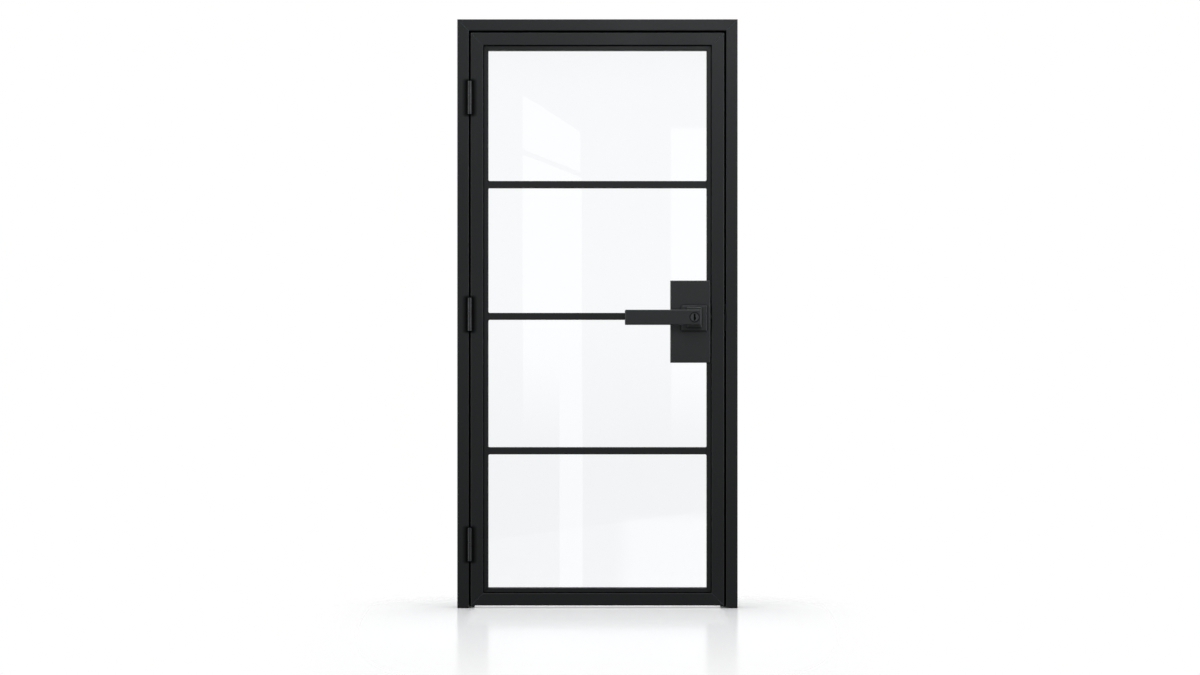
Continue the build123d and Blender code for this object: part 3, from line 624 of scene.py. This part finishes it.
def new_finish(name, **plain):
    """An empty finish with its shader, and the shader's plain values."""
    finish = bpy.data.materials.new(name)
    finish.use_nodes = True
    tree = finish.node_tree
    tree.nodes.clear()
    surface = tree.nodes.new("ShaderNodeBsdfPrincipled")
    for socket, value in plain.items():
        surface.inputs[socket.replace("_", " ")].default_value = value
    tree.nodes.new("ShaderNodeOutputMaterial")
    show(tree, surface.outputs["BSDF"])
    return finish, tree, surface


def link(tree, source, surface, socket):
    """Feed one of the shader's sockets."""
    tree.links.new(source, surface.inputs[socket])


def raise_grain(tree, surface, height, strength, depth):
    """Bump a finish by the height of its grain."""
    inputs = {"Height": height, "Strength": strength, "Distance": depth}
    bump = add_node(tree, "ShaderNodeBump", inputs)
    link(tree, bump.outputs["Normal"], surface, "Normal")


def let_through(tree, surface, share, colour=WHITE):
    """Let a share of the rays go straight through a finish."""
    clear = add_node(tree, "ShaderNodeBsdfTransparent", {"Color": colour}).outputs["BSDF"]
    inputs = {0: share, 1: surface.outputs["BSDF"], 2: clear}
    show(tree, add_node(tree, "ShaderNodeMixShader", inputs).outputs["Shader"])


def joint_places():
    """Where the gap round the leaf and the hinges are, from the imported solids."""
    flaps = [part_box(name + "_jamb_flap") for name in ("top", "middle", "bottom")]
    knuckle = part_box("top_leaf_flap")
    top = max(flaps[0][1].z, knuckle[1].z)
    bottom = min(flaps[0][0].z, knuckle[0].z)
    return {
        "Half Width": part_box("lock_stile")[1].x,
        "Top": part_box("top_rail")[1].z,
        "Bottom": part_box("bottom_rail")[0].z,
        "Face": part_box("top_rail")[0].y,
        "Hinge Axis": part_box("hinge_collars")[0].x / 2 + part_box("hinge_collars")[1].x / 2,
        "Hinge Heights": [(low.z + high.z) / 2 for low, high in flaps],
        "Hinge Half Length": (top - bottom) / 2,
    }


def crevice_shade_mask(tree, reach):
    """Mask of painted shade in crevices, where little of what is in reach stands open."""
    # Open shares at which the mask is strongest and gone.
    closed, wide_open, strongest = 0.35, 0.9, 0.85
    inputs = {"Distance": reach}
    open_share = add_node(tree, "ShaderNodeAmbientOcclusion", inputs, samples=8).outputs["AO"]
    return ramp(tree, open_share, closed, wide_open, strongest, 0.0)


def coat_finish(name, colour, roughness, grain, bump, edge=0.8, dust=0.05, joints=None, crevice_shade=0):
    """A satin coat on metal: clouded colour, orange peel, edges lightened as a painted highlight
    and a trace of dust.

    Painted shade darkens the leaf's gap and the surfaces about its hinges, where the joints are
    given, and a painted highlight lightens the mitred seams; or else painted shade darkens the
    crevices.
    """
    cloud_size, peel_depth = 0.28, 0.0004
    # What each mask adds to the roughness.
    cloud_spread, fine_spread, edge_spread, shade_spread = 0.05, 0.025, -0.08, 0.45
    hinge_share = 0.9
    finish, tree, surface = new_finish(name, IOR=1.5)
    grains = place_group(tree, grain_group(), {"Fine Size": grain, "Cloud Size": cloud_size})
    edges = place_group(tree, edge_rub_and_sheen_group(), {"Amount": edge})["Mask"]
    dusts = place_group(tree, dust_group(), {"Amount": dust})["Mask"]
    cloud = ramp(tree, grains["Cloud"], *NOISE_MAIN, 0.0, 1.0)
    base = tones(tree, cloud, colour, start=0.86, end=1.14)
    # Rounded edges lighter: a painted highlight.
    base = blend_colours(tree, edges, base, shade(colour, EDGE_HIGHLIGHT))
    base = blend_colours(tree, dusts, base, DUST_COLOUR)
    spread = ramp(
        tree, grains["Cloud"], *NOISE_WIDE, roughness - cloud_spread, roughness + cloud_spread
    )
    painted_shade_mask = None
    # In the joints: painted shade in the gap and about the hinges, and a painted highlight on the
    # mitred seams.
    if joints:
        masks = place_group(tree, joint_group(), joints)
        base = blend_colours(tree, masks["Mitre"], base, shade(colour, MITRE_HIGHLIGHT))
        hinge_shade = product(tree, masks["Hinge"], hinge_share)
        painted_shade_mask = math_node(tree, "MAXIMUM", masks["Gap"], hinge_shade)
    # Otherwise painted shade in the crevices.
    elif crevice_shade:
        painted_shade_mask = crevice_shade_mask(tree, crevice_shade)
    # Painted shade: the colour goes near black, the coat turns metallic so it mirrors little, and
    # it roughens.
    if painted_shade_mask is not None:
        base = blend_colours(tree, painted_shade_mask, base, shade(colour, PAINTED_SHADE))
        spread = math_node(tree, "ADD", spread, product(tree, painted_shade_mask, shade_spread))
        link(tree, painted_shade_mask, surface, "Metallic")
    link(tree, base, surface, "Base Color")
    fine = ramp(tree, grains["Fine"], *NOISE_MAIN, -fine_spread, fine_spread)
    spread = math_node(tree, "ADD", spread, fine)
    worn = product(tree, edges, edge_spread)
    link(tree, math_node(tree, "ADD", spread, worn, clamp=True), surface, "Roughness")
    raise_grain(tree, surface, grains["Fine"], bump, peel_depth)
    return finish


def steel_finish(name, colour, roughness, stretch):
    """Bright or blackened steel with the streaks of a brush or a belt."""
    streak_size, cloud_size, rub_size = 0.0009, 0.05, 0.008
    rub_shade = 1.35
    smoother, rougher, streak_spread = 0.05, 0.07, 0.04
    finish, tree, surface = new_finish(name, Metallic=1.0)
    sizes = {"Fine Size": streak_size, "Cloud Size": cloud_size, "Stretch": stretch}
    grains = place_group(tree, grain_group(), sizes)
    edges = place_group(tree, edge_rub_and_sheen_group(), {"Amount": 0.5, "Patch Size": rub_size})["Mask"]
    streak = ramp(tree, grains["Fine"], *NOISE_MAIN, 0.0, 1.0)
    base = tones(tree, streak, colour, start=0.88, end=1.1)
    base = blend_colours(tree, edges, base, shade(colour, rub_shade))
    link(tree, base, surface, "Base Color")
    spread = ramp(tree, grains["Cloud"], *NOISE_WIDE, roughness - smoother, roughness + rougher)
    fine = ramp(tree, streak, 0.0, 1.0, -streak_spread, streak_spread)
    link(tree, math_node(tree, "ADD", spread, fine), surface, "Roughness")
    raise_grain(tree, surface, grains["Fine"], strength=0.12, depth=0.0002)
    return finish


def turned_finish(name, colour, centre, face):
    """Dark steel turned on a lathe: fine rings about the cylinder's axis, and painted shade on what
    lies deeper than its face.
    """
    rub_size = 0.006
    rub_shade, deep_shade = 1.3, 0.08
    shade_start, shade_end = 0.0025, 0.0008
    smoothest, roughest = 0.33, 0.43
    finish, tree, surface = new_finish(name, Metallic=1.0)
    edges = place_group(tree, edge_rub_and_sheen_group(), {"Amount": 0.7, "Patch Size": rub_size})["Mask"]
    place = add_node(tree, "ShaderNodeTexCoord").outputs["Object"]
    about = add_node(tree, "ShaderNodeVectorMath", {0: place, 1: centre}, operation="SUBTRACT")
    rings = add_node(
        tree,
        "ShaderNodeTexWave",
        {
            "Vector": about.outputs["Vector"],
            "Scale": 320.0,
            "Distortion": 1.2,
            "Detail": 2.0,
            "Detail Scale": 6.0,
        },
        wave_type="RINGS",
        rings_direction="Y",
    ).outputs["Fac"]
    base = tones(tree, rings, colour, start=0.82, end=1.15)
    base = blend_colours(tree, edges, base, shade(colour, rub_shade))
    # Painted shade on what lies deeper than the cylinder's face, inside the key slot.
    outward = math_node(tree, "ABSOLUTE", axes(tree, place)["Y"])
    keyway_shade = ramp(tree, outward, face - shade_start, face - shade_end, 1.0, 0.0, smooth=True)
    base = blend_colours(tree, keyway_shade, base, shade(colour, deep_shade))
    link(tree, base, surface, "Base Color")
    link(tree, ramp(tree, rings, 0.0, 1.0, smoothest, roughest), surface, "Roughness")
    raise_grain(tree, surface, rings, strength=0.15, depth=0.0001)
    return finish


def rubber_finish(name, colour):
    """Matt rubber with a fine skin and grey bloom."""
    skin_size, bloom_size = 0.0008, 0.06
    smoothest, roughest = 0.68, 0.8
    finish, tree, surface = new_finish(name, IOR=1.5)
    grains = place_group(tree, grain_group(), {"Fine Size": skin_size, "Cloud Size": bloom_size})
    dusts = place_group(tree, dust_group(), {"Amount": 0.2})["Mask"]
    bloom = ramp(tree, grains["Cloud"], *NOISE_UPPER, 0.0, 1.0)
    base = tones(tree, bloom, colour, start=0.9, end=1.5)
    base = blend_colours(tree, dusts, base, RUBBER_DUST_COLOUR)
    link(tree, base, surface, "Base Color")
    spread = ramp(tree, grains["Cloud"], *NOISE_MAIN, smoothest, roughest)
    link(tree, spread, surface, "Roughness")
    raise_grain(tree, surface, grains["Fine"], strength=0.2, depth=0.0002)
    return finish


def glass_finish(name, colour):
    """Clear toughened glass: a faint roller wave, a trace of film, and shadow rays let through."""
    film_size = 0.25
    finish, tree, surface = new_finish(name, IOR=1.5, Roughness=0.0, Transmission_Weight=1.0)
    grains = place_group(tree, grain_group(), {"Cloud Size": film_size})
    film = ramp(tree, grains["Cloud"], *NOISE_UPPER, 0.0, 1.0)
    link(tree, tones(tree, film, colour, start=1.0, end=0.994), surface, "Base Color")
    place = add_node(tree, "ShaderNodeTexCoord").outputs["Object"]
    wave = add_node(
        tree,
        "ShaderNodeTexWave",
        {"Vector": place, "Scale": 1.1, "Distortion": 1.5, "Detail": 1.0},
        bands_direction="X",
    )
    raise_grain(tree, surface, wave.outputs["Fac"], strength=0.05, depth=0.0004)
    shadow = add_node(tree, "ShaderNodeLightPath").outputs["Is Shadow Ray"]
    let_through(tree, surface, shadow, shade(colour, 1.0))
    return finish


def card_finish(name, level, soft_side, soft_foot, soft_top):
    """A card that only adds its light; each soft edge is a share of the card's width or height."""
    finish, tree, surface = new_finish(name)
    tree.nodes.remove(surface)
    split = axes(tree, add_node(tree, "ShaderNodeTexCoord").outputs["Generated"])
    fades = []
    for axis, near, far in (("X", soft_side, soft_side), ("Z", soft_foot, soft_top)):
        if near:
            fades.append(ramp(tree, split[axis], 0.0, near, 0.0, 1.0, smooth=True))
        if far:
            fades.append(ramp(tree, split[axis], 1.0 - far, 1.0, 1.0, 0.0, smooth=True))
    colour = product(tree, *fades) if fades else WHITE
    light = add_node(tree, "ShaderNodeEmission", {"Color": colour, "Strength": level})
    clear = add_node(tree, "ShaderNodeBsdfTransparent")
    added = add_node(tree, "ShaderNodeAddShader", {0: light.outputs[0], 1: clear.outputs[0]})
    show(tree, added.outputs["Shader"])
    return finish


def dress(names, finish):
    """Give CAD nodes a finish."""
    for name in names:
        if name not in NODES:
            raise RuntimeError(f"the frame has no node named {name}")
        materials = NODES[name].data.materials
        materials.clear()
        materials.append(finish)


def coat_steel(settings):
    """The one coat that the frame, the leaf and their welds share."""
    return bpy.data.materials.get("powder_coat") or coat_finish(
        "powder_coat",
        settings.coat_colour,
        settings.coat_roughness,
        settings.coat_grain,
        bump=0.22,
        dust=0.02,
        joints=joint_places(),
    )


def gather_panes(name):
    """A collection of the panes, which lamps and cards are linked to."""
    panes = bpy.data.collections.new(name)
    for pane in PANE_NODES:
        panes.objects.link(NODES[pane])
    return panes


def flat_sheet(name, corners, finish):
    """A single face with four corners and a finish."""
    data = bpy.data.meshes.new(name)
    data.from_pydata(corners, [], [(0, 1, 2, 3)])
    data.materials.append(finish)
    return bpy.data.objects.new(name, data)


class DOOR_OT_coat_steel(bpy.types.Operator):
    """Powder-coat the frame, the leaf, its bars and its glazing beads"""

    bl_idname = "door.coat_steel"
    bl_label = "Coat Steel"

    def execute(self, context):
        dress(COATED_NODES, coat_steel(context.scene.door_finish))
        return {"FINISHED"}


class DOOR_OT_lay_welds(bpy.types.Operator):
    """Lay a small rippled weld bead in each corner of the glazing lips and bars"""

    bl_idname = "door.lay_welds"
    bl_label = "Lay Welds"

    def execute(self, context):
        settings = context.scene.door_weld
        left = (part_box("hinge_stile")[1].x, 1)
        right = (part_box("lock_stile")[0].x, -1)
        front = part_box("upper_bar")[0].y
        corners = [(*side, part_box("top_rail")[0].z, -1) for side in (left, right)]
        corners += [(*side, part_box("bottom_rail")[1].z, 1) for side in (left, right)]
        for bar in ("upper_bar", "middle_bar", "lower_bar"):
            low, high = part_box(bar)
            ends = [left] if bar == "middle_bar" else [left, right]
            corners += [(*end, z, rise) for end in ends for z, rise in ((low.z, -1), (high.z, 1))]
        mesh = bmesh.new()
        for corner in corners:
            self.lay_bead(mesh, settings, front, *corner)
        bmesh.ops.recalc_face_normals(mesh, faces=mesh.faces)
        data = bpy.data.meshes.new("weld_beads")
        mesh.to_mesh(data)
        mesh.free()
        for polygon in data.polygons:
            polygon.use_smooth = True
        data.materials.append(coat_steel(context.scene.door_finish))
        beads = bpy.data.objects.new("weld_beads", data)
        context.scene.collection.objects.link(beads)
        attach(beads, "leaf")
        return {"FINISHED"}

    @staticmethod
    def lay_bead(mesh, settings, front, x, way, z, rise):
        """One bead: rings through the lip's depth, a foot on both faces and a bulged throat."""
        steps, curve = 24, 6
        # Shares of the leg: a ripple, the throat's bulge, and what is left at the ends.
        ripple_height, bulge_height, end_leg = 0.06, 0.02, 0.55
        end_power, throat_power = 6, 1.25
        setback = 0.0001
        rings = []
        for step in range(steps + 1):
            along = step / steps
            turns = math.pi * along * settings.length / settings.ripple
            ends = (1 - abs(2 * along - 1) ** end_power) ** 0.5
            leg = settings.leg * (end_leg + (1 - end_leg) * ends)
            leg *= 1 + ripple_height * abs(math.sin(turns))
            outline = [(-settings.root, -settings.root), (leg, -settings.root)]
            for point in range(curve + 1):
                share = point / curve
                bulge = bulge_height * math.sin(math.pi * share)
                across = leg * ((1 - share) ** throat_power + bulge)
                outline.append((across, leg * (share**throat_power + bulge)))
            outline.append((-settings.root, leg))
            y = front + setback + along * settings.length
            rings.append([mesh.verts.new((x + way * u, y, z + rise * v)) for u, v in outline])
        for ring, other in zip(rings, rings[1:]):
            for index in range(len(ring)):
                following = (index + 1) % len(ring)
                mesh.faces.new((ring[index], ring[following], other[following], other[index]))
        mesh.faces.new(rings[0])
        mesh.faces.new(rings[-1])


class DOOR_OT_paint_hinges(bpy.types.Operator):
    """Paint the hinges and leave their pins and screws bright"""

    bl_idname = "door.paint_hinges"
    bl_label = "Paint Hinges"

    def execute(self, context):
        settings = context.scene.door_finish
        paint = coat_finish(
            "hinge_paint", settings.hinge_colour, roughness=0.40, grain=0.0010, bump=0.12, edge=0.35
        )
        dress(HINGE_NODES, paint)
        upright = (1.0, 1.0, 0.2)
        steel = steel_finish("hinge_steel", settings.steel_colour, roughness=0.34, stretch=upright)
        dress(HINGE_STEEL_NODES, steel)
        return {"FINISHED"}


class DOOR_OT_glaze_leaf(bpy.types.Operator):
    """Glaze the four panes on their tape and setting blocks"""

    bl_idname = "door.glaze_leaf"
    bl_label = "Glaze Leaf"

    def execute(self, context):
        settings = context.scene.door_finish
        dress(PANE_NODES, glass_finish("clear_glass", settings.glass_colour))
        dress(TAPE_NODES, rubber_finish("glazing_tape", settings.rubber_colour))
        return {"FINISHED"}


class DOOR_OT_fit_lock(bpy.types.Operator):
    """Finish the lock covers, the lever set, the cylinder and the latch"""

    bl_idname = "door.fit_lock"
    bl_label = "Fit Lock"

    def execute(self, context):
        settings = context.scene.door_finish
        low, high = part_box("key_plug")
        centre = (low + high) / 2
        cover_coat = coat_finish(
            "cover_coat",
            settings.lever_colour,
            roughness=0.46,
            grain=0.0014,
            bump=0.2,
            dust=0.02,
            crevice_shade=0.016,
        )
        lever_coat = coat_finish(
            "lever_coat",
            settings.lever_colour,
            roughness=0.42,
            grain=0.0009,
            bump=0.14,
            edge=0.5,
            dust=0.01,
            crevice_shade=0.012,
        )
        turned_steel = turned_finish("turned_steel", settings.cylinder_colour, centre, -low.y)
        blackened_steel = turned_finish("blackened_steel", settings.latch_colour, centre, -low.y)
        upright, through = (1.0, 1.0, 0.15), (1.0, 0.15, 1.0)
        latch_steel = steel_finish(
            "latch_steel", settings.latch_colour, roughness=0.38, stretch=upright
        )
        inner_steel = steel_finish(
            "inner_steel", settings.steel_colour, roughness=0.30, stretch=through
        )
        dress(COVER_NODES, cover_coat)
        dress(LEVER_NODES, lever_coat)
        dress(PLUG_NODES, turned_steel)
        dress(("key_cylinder",), blackened_steel)
        dress(LATCH_NODES, latch_steel)
        dress(INNER_STEEL_NODES, inner_steel)
        return {"FINISHED"}


class DOOR_OT_fit_seals(bpy.types.Operator):
    """Finish the rubber seals in the frame"""

    bl_idname = "door.fit_seals"
    bl_label = "Fit Seals"

    def execute(self, context):
        dress(SEAL_NODES, rubber_finish("seal_rubber", context.scene.door_finish.rubber_colour))
        return {"FINISHED"}


class DOOR_OT_set_stage(bpy.types.Operator):
    """Set up the pale floor, the soft light and the camera"""

    bl_idname = "door.set_stage"
    bl_label = "Set Stage"

    def execute(self, context):
        scene = context.scene
        settings = scene.door_stage
        scene.view_settings.view_transform = "Standard"
        self.make_surround(scene, settings)
        self.make_floor(scene, settings)
        self.hang_lamps(scene)
        self.stand_cards(scene, settings)
        self.set_camera(scene, settings)
        return {"FINISHED"}

    @staticmethod
    def make_surround(scene, settings):
        """White to the eye and through glass; for light, soft and dimmer on the camera's side."""
        # Shares of the way that a ray goes, along Y and along Z.
        front, back = -0.95, 0.1
        downward, upward = -0.5, 0.25
        world = bpy.data.worlds.new("studio")
        world.use_nodes = True
        tree = world.node_tree
        tree.nodes.clear()
        way = axes(tree, add_node(tree, "ShaderNodeTexCoord").outputs["Generated"])
        below = ramp(tree, way["Z"], downward, upward, settings.low_level, 1.0, smooth=True)
        lit = ramp(tree, way["Y"], front, back, settings.front_level, 1.0, smooth=True)
        lit = product(tree, lit, below, settings.surround)
        mirrored = ramp(tree, way["Y"], front, back, settings.front_level / 2, 1.0, smooth=True)
        mirrored = product(tree, mirrored, below)
        path = add_node(tree, "ShaderNodeLightPath").outputs
        level = blend_colours(tree, path["Is Glossy Ray"], lit, mirrored)
        seen = math_node(tree, "MAXIMUM", path["Is Camera Ray"], path["Is Transmission Ray"])
        colour = blend_colours(tree, seen, level, WHITE)
        light = add_node(tree, "ShaderNodeBackground", {"Color": colour, "Strength": 1.0})
        output = tree.nodes.new("ShaderNodeOutputWorld")
        tree.links.new(light.outputs["Background"], output.inputs["Surface"])
        scene.world = world

    @staticmethod
    def make_floor(scene, settings):
        """A polished pale floor that fades into white far away, and a little under the leaf as a
        painted pool of light.
        """
        fade_start, fade_end = 0.04, 0.5
        # How fast the floor fades behind and before the door, against its sides.
        behind_rate, before_rate = 0.85, -0.16
        # What the fade starts from under the leaf, a painted pool of light where light would pass
        # under it, and where that ends at the jambs and away.
        leaf_fade = 0.25
        leaf_side, jamb_side = -0.07, -0.04
        leaf_near, leaf_away = 0.06, 0.13
        foot_gap = 0.0004
        finish, tree, surface = new_finish("pale_floor", IOR=1.06, Roughness=0.15)
        place = add_node(tree, "ShaderNodeTexCoord").outputs["Object"]
        noise = add_node(tree, "ShaderNodeTexNoise", {"Vector": place, "Scale": 0.8, "Detail": 3.0})
        tone = tones(tree, noise.outputs["Fac"], settings.floor_colour, start=0.995, end=1.005)
        link(tree, tone, surface, "Base Color")
        split = axes(tree, place)
        across = math_node(tree, "ABSOLUTE", split["X"])
        beside = math_node(tree, "SUBTRACT", across, CAD_BOX[1].x)
        behind = product(tree, split["Y"], behind_rate)
        before = product(tree, split["Y"], before_rate)
        deep = math_node(tree, "MAXIMUM", behind, before)
        away = step_length(tree, math_node(tree, "MAXIMUM", beside, 0.0), deep)
        painted_light_under_leaf = product(
            tree,
            ramp(tree, beside, leaf_side, jamb_side, leaf_fade, 0.0, smooth=True),
            ramp(tree, deep, leaf_near, leaf_away, 1.0, 0.0, smooth=True),
        )
        fade = ramp(tree, away, fade_start, fade_end, painted_light_under_leaf, 1.0, smooth=True)
        let_through(tree, surface, fade)
        half = settings.floor_size / 2
        corners = [(-half, -half, 0), (half, -half, 0), (half, half, 0), (-half, half, 0)]
        floor = flat_sheet("floor", corners, finish)
        floor.location.z = -foot_gap
        floor.visible_diffuse = False
        floor.visible_glossy = False
        scene.collection.objects.link(floor)

    @staticmethod
    def hang_lamps(scene):
        """Soft boxes in front and overhead, and strips that show only as gleams on edges.

        No lamp shows in the panes, which mirror the cards instead.
        """
        panes = gather_panes("panes_without_lamps")
        for pane in panes.collection_objects:
            pane.light_linking.link_state = "EXCLUDE"
        for name, place, aim, width, height, power in (
            ("key_lamp", (-1.9, -3.2, 3.0), (0.1, 0, 1.1), 1.2, 1.2, 3.6),
            ("front_lamp", (0.6, -3.4, 3.0), (0.3, 0, 1.8), 1.6, 0.9, 13.5),
            ("low_lamp", (0.0, -4.4, 0.6), (0, 0, 0.4), 3.0, 0.8, 9),
            ("upper_lamp", (0.52, -4.2, 2.6), (0.35, 0, 2.0), 0.9, 0.5, 5.6),
            ("ceiling_lamp", (0.0, -0.2, 4.8), (0, -0.2, 0), 3.6, 2.4, 199),
            ("top_strip", (0.2, -2.0, 3.9), (0, 0, 1.2), 2.6, 0.7, 9),
            ("left_strip", (-3.6, -1.4, 1.2), (0, 0, 1.1), 0.9, 2.4, 34),
            ("right_strip", (3.6, -1.4, 1.7), (0, 0, 1.4), 0.9, 2.2, 50),
        ):
            lamp = bpy.data.lights.new(name, "AREA")
            lamp.shape = "RECTANGLE"
            lamp.size = width
            lamp.size_y = height
            lamp.energy = power
            lamp.color = LAMP_COLOUR
            holder = bpy.data.objects.new(name, lamp)
            holder.location = place
            towards = Vector(aim) - Vector(place)
            holder.rotation_euler = towards.to_track_quat("-Z", "Y").to_euler()
            holder.visible_camera = False
            holder.visible_transmission = False
            holder.visible_diffuse = not name.endswith("strip")
            holder.visible_glossy = name != "ceiling_lamp"
            holder.light_linking.receiver_collection = panes
            scene.collection.objects.link(holder)

    @staticmethod
    def stand_cards(scene, settings):
        """Glowing cards behind the camera, which show only as faint bright bands in the glass."""
        panes = gather_panes("panes_with_cards")
        eye = Vector(settings.camera_place)
        depth, next_card = -12.0, -0.05
        for name, (level, corners, soft) in CARDS.items():
            depth += next_card
            reach = (eye.y + depth) / eye.y
            points = [
                (eye.x + reach * (x - eye.x), depth, eye.z + reach * (z - eye.z))
                for x, z in corners
            ]
            card = flat_sheet(name, points, card_finish(name, level, *soft))
            for kind in ("camera", "diffuse", "transmission", "shadow", "volume_scatter"):
                setattr(card, "visible_" + kind, False)
            card.light_linking.receiver_collection = panes
            scene.collection.objects.link(card)

    @staticmethod
    def set_camera(scene, settings):
        """A level camera in front of the door."""
        data = bpy.data.cameras.new("camera")
        data.sensor_width = 36.0
        data.lens = settings.camera_lens
        data.clip_end = 200.0
        camera = bpy.data.objects.new("camera", data)
        camera.location = settings.camera_place
        camera.rotation_euler = (math.pi / 2, 0.0, 0.0)
        scene.collection.objects.link(camera)
        scene.camera = camera


OPERATORS = (
    DOOR_OT_coat_steel,
    DOOR_OT_lay_welds,
    DOOR_OT_paint_hinges,
    DOOR_OT_glaze_leaf,
    DOOR_OT_fit_lock,
    DOOR_OT_fit_seals,
    DOOR_OT_set_stage,
)
SETTINGS = {
    "door_finish": DoorFinishSettings,
    "door_weld": DoorWeldSettings,
    "door_stage": DoorStageSettings,
}


class DOOR_PT_panel(bpy.types.Panel):
    """Sidebar panel with the settings and the steps"""

    bl_idname = "DOOR_PT_panel"
    bl_label = "Glass Door"
    bl_space_type = "VIEW_3D"
    bl_region_type = "UI"
    bl_category = "Door"

    def draw(self, context):
        for name, group in SETTINGS.items():
            box = self.layout.box()
            for label in group.__annotations__:
                box.prop(getattr(context.scene, name), label)
        for operator in OPERATORS:
            self.layout.operator(operator.bl_idname)


def register():
    """Register the settings, the operators and the panel."""
    for name, group in SETTINGS.items():
        bpy.utils.register_class(group)
        setattr(bpy.types.Scene, name, bpy.props.PointerProperty(type=group))
    for operator in OPERATORS:
        bpy.utils.register_class(operator)
    bpy.utils.register_class(DOOR_PT_panel)


def unregister():
    """Take the panel, the operators and the settings out again."""
    bpy.utils.unregister_class(DOOR_PT_panel)
    for operator in reversed(OPERATORS):
        bpy.utils.unregister_class(operator)
    for name, group in SETTINGS.items():
        delattr(bpy.types.Scene, name)
        bpy.utils.unregister_class(group)


def main():
    """Run every step."""
    register()
    bpy.ops.door.coat_steel()
    bpy.ops.door.lay_welds()
    bpy.ops.door.paint_hinges()
    bpy.ops.door.glaze_leaf()
    bpy.ops.door.fit_lock()
    bpy.ops.door.fit_seals()
    bpy.ops.door.set_stage()


if __name__ == "__main__":
    main()
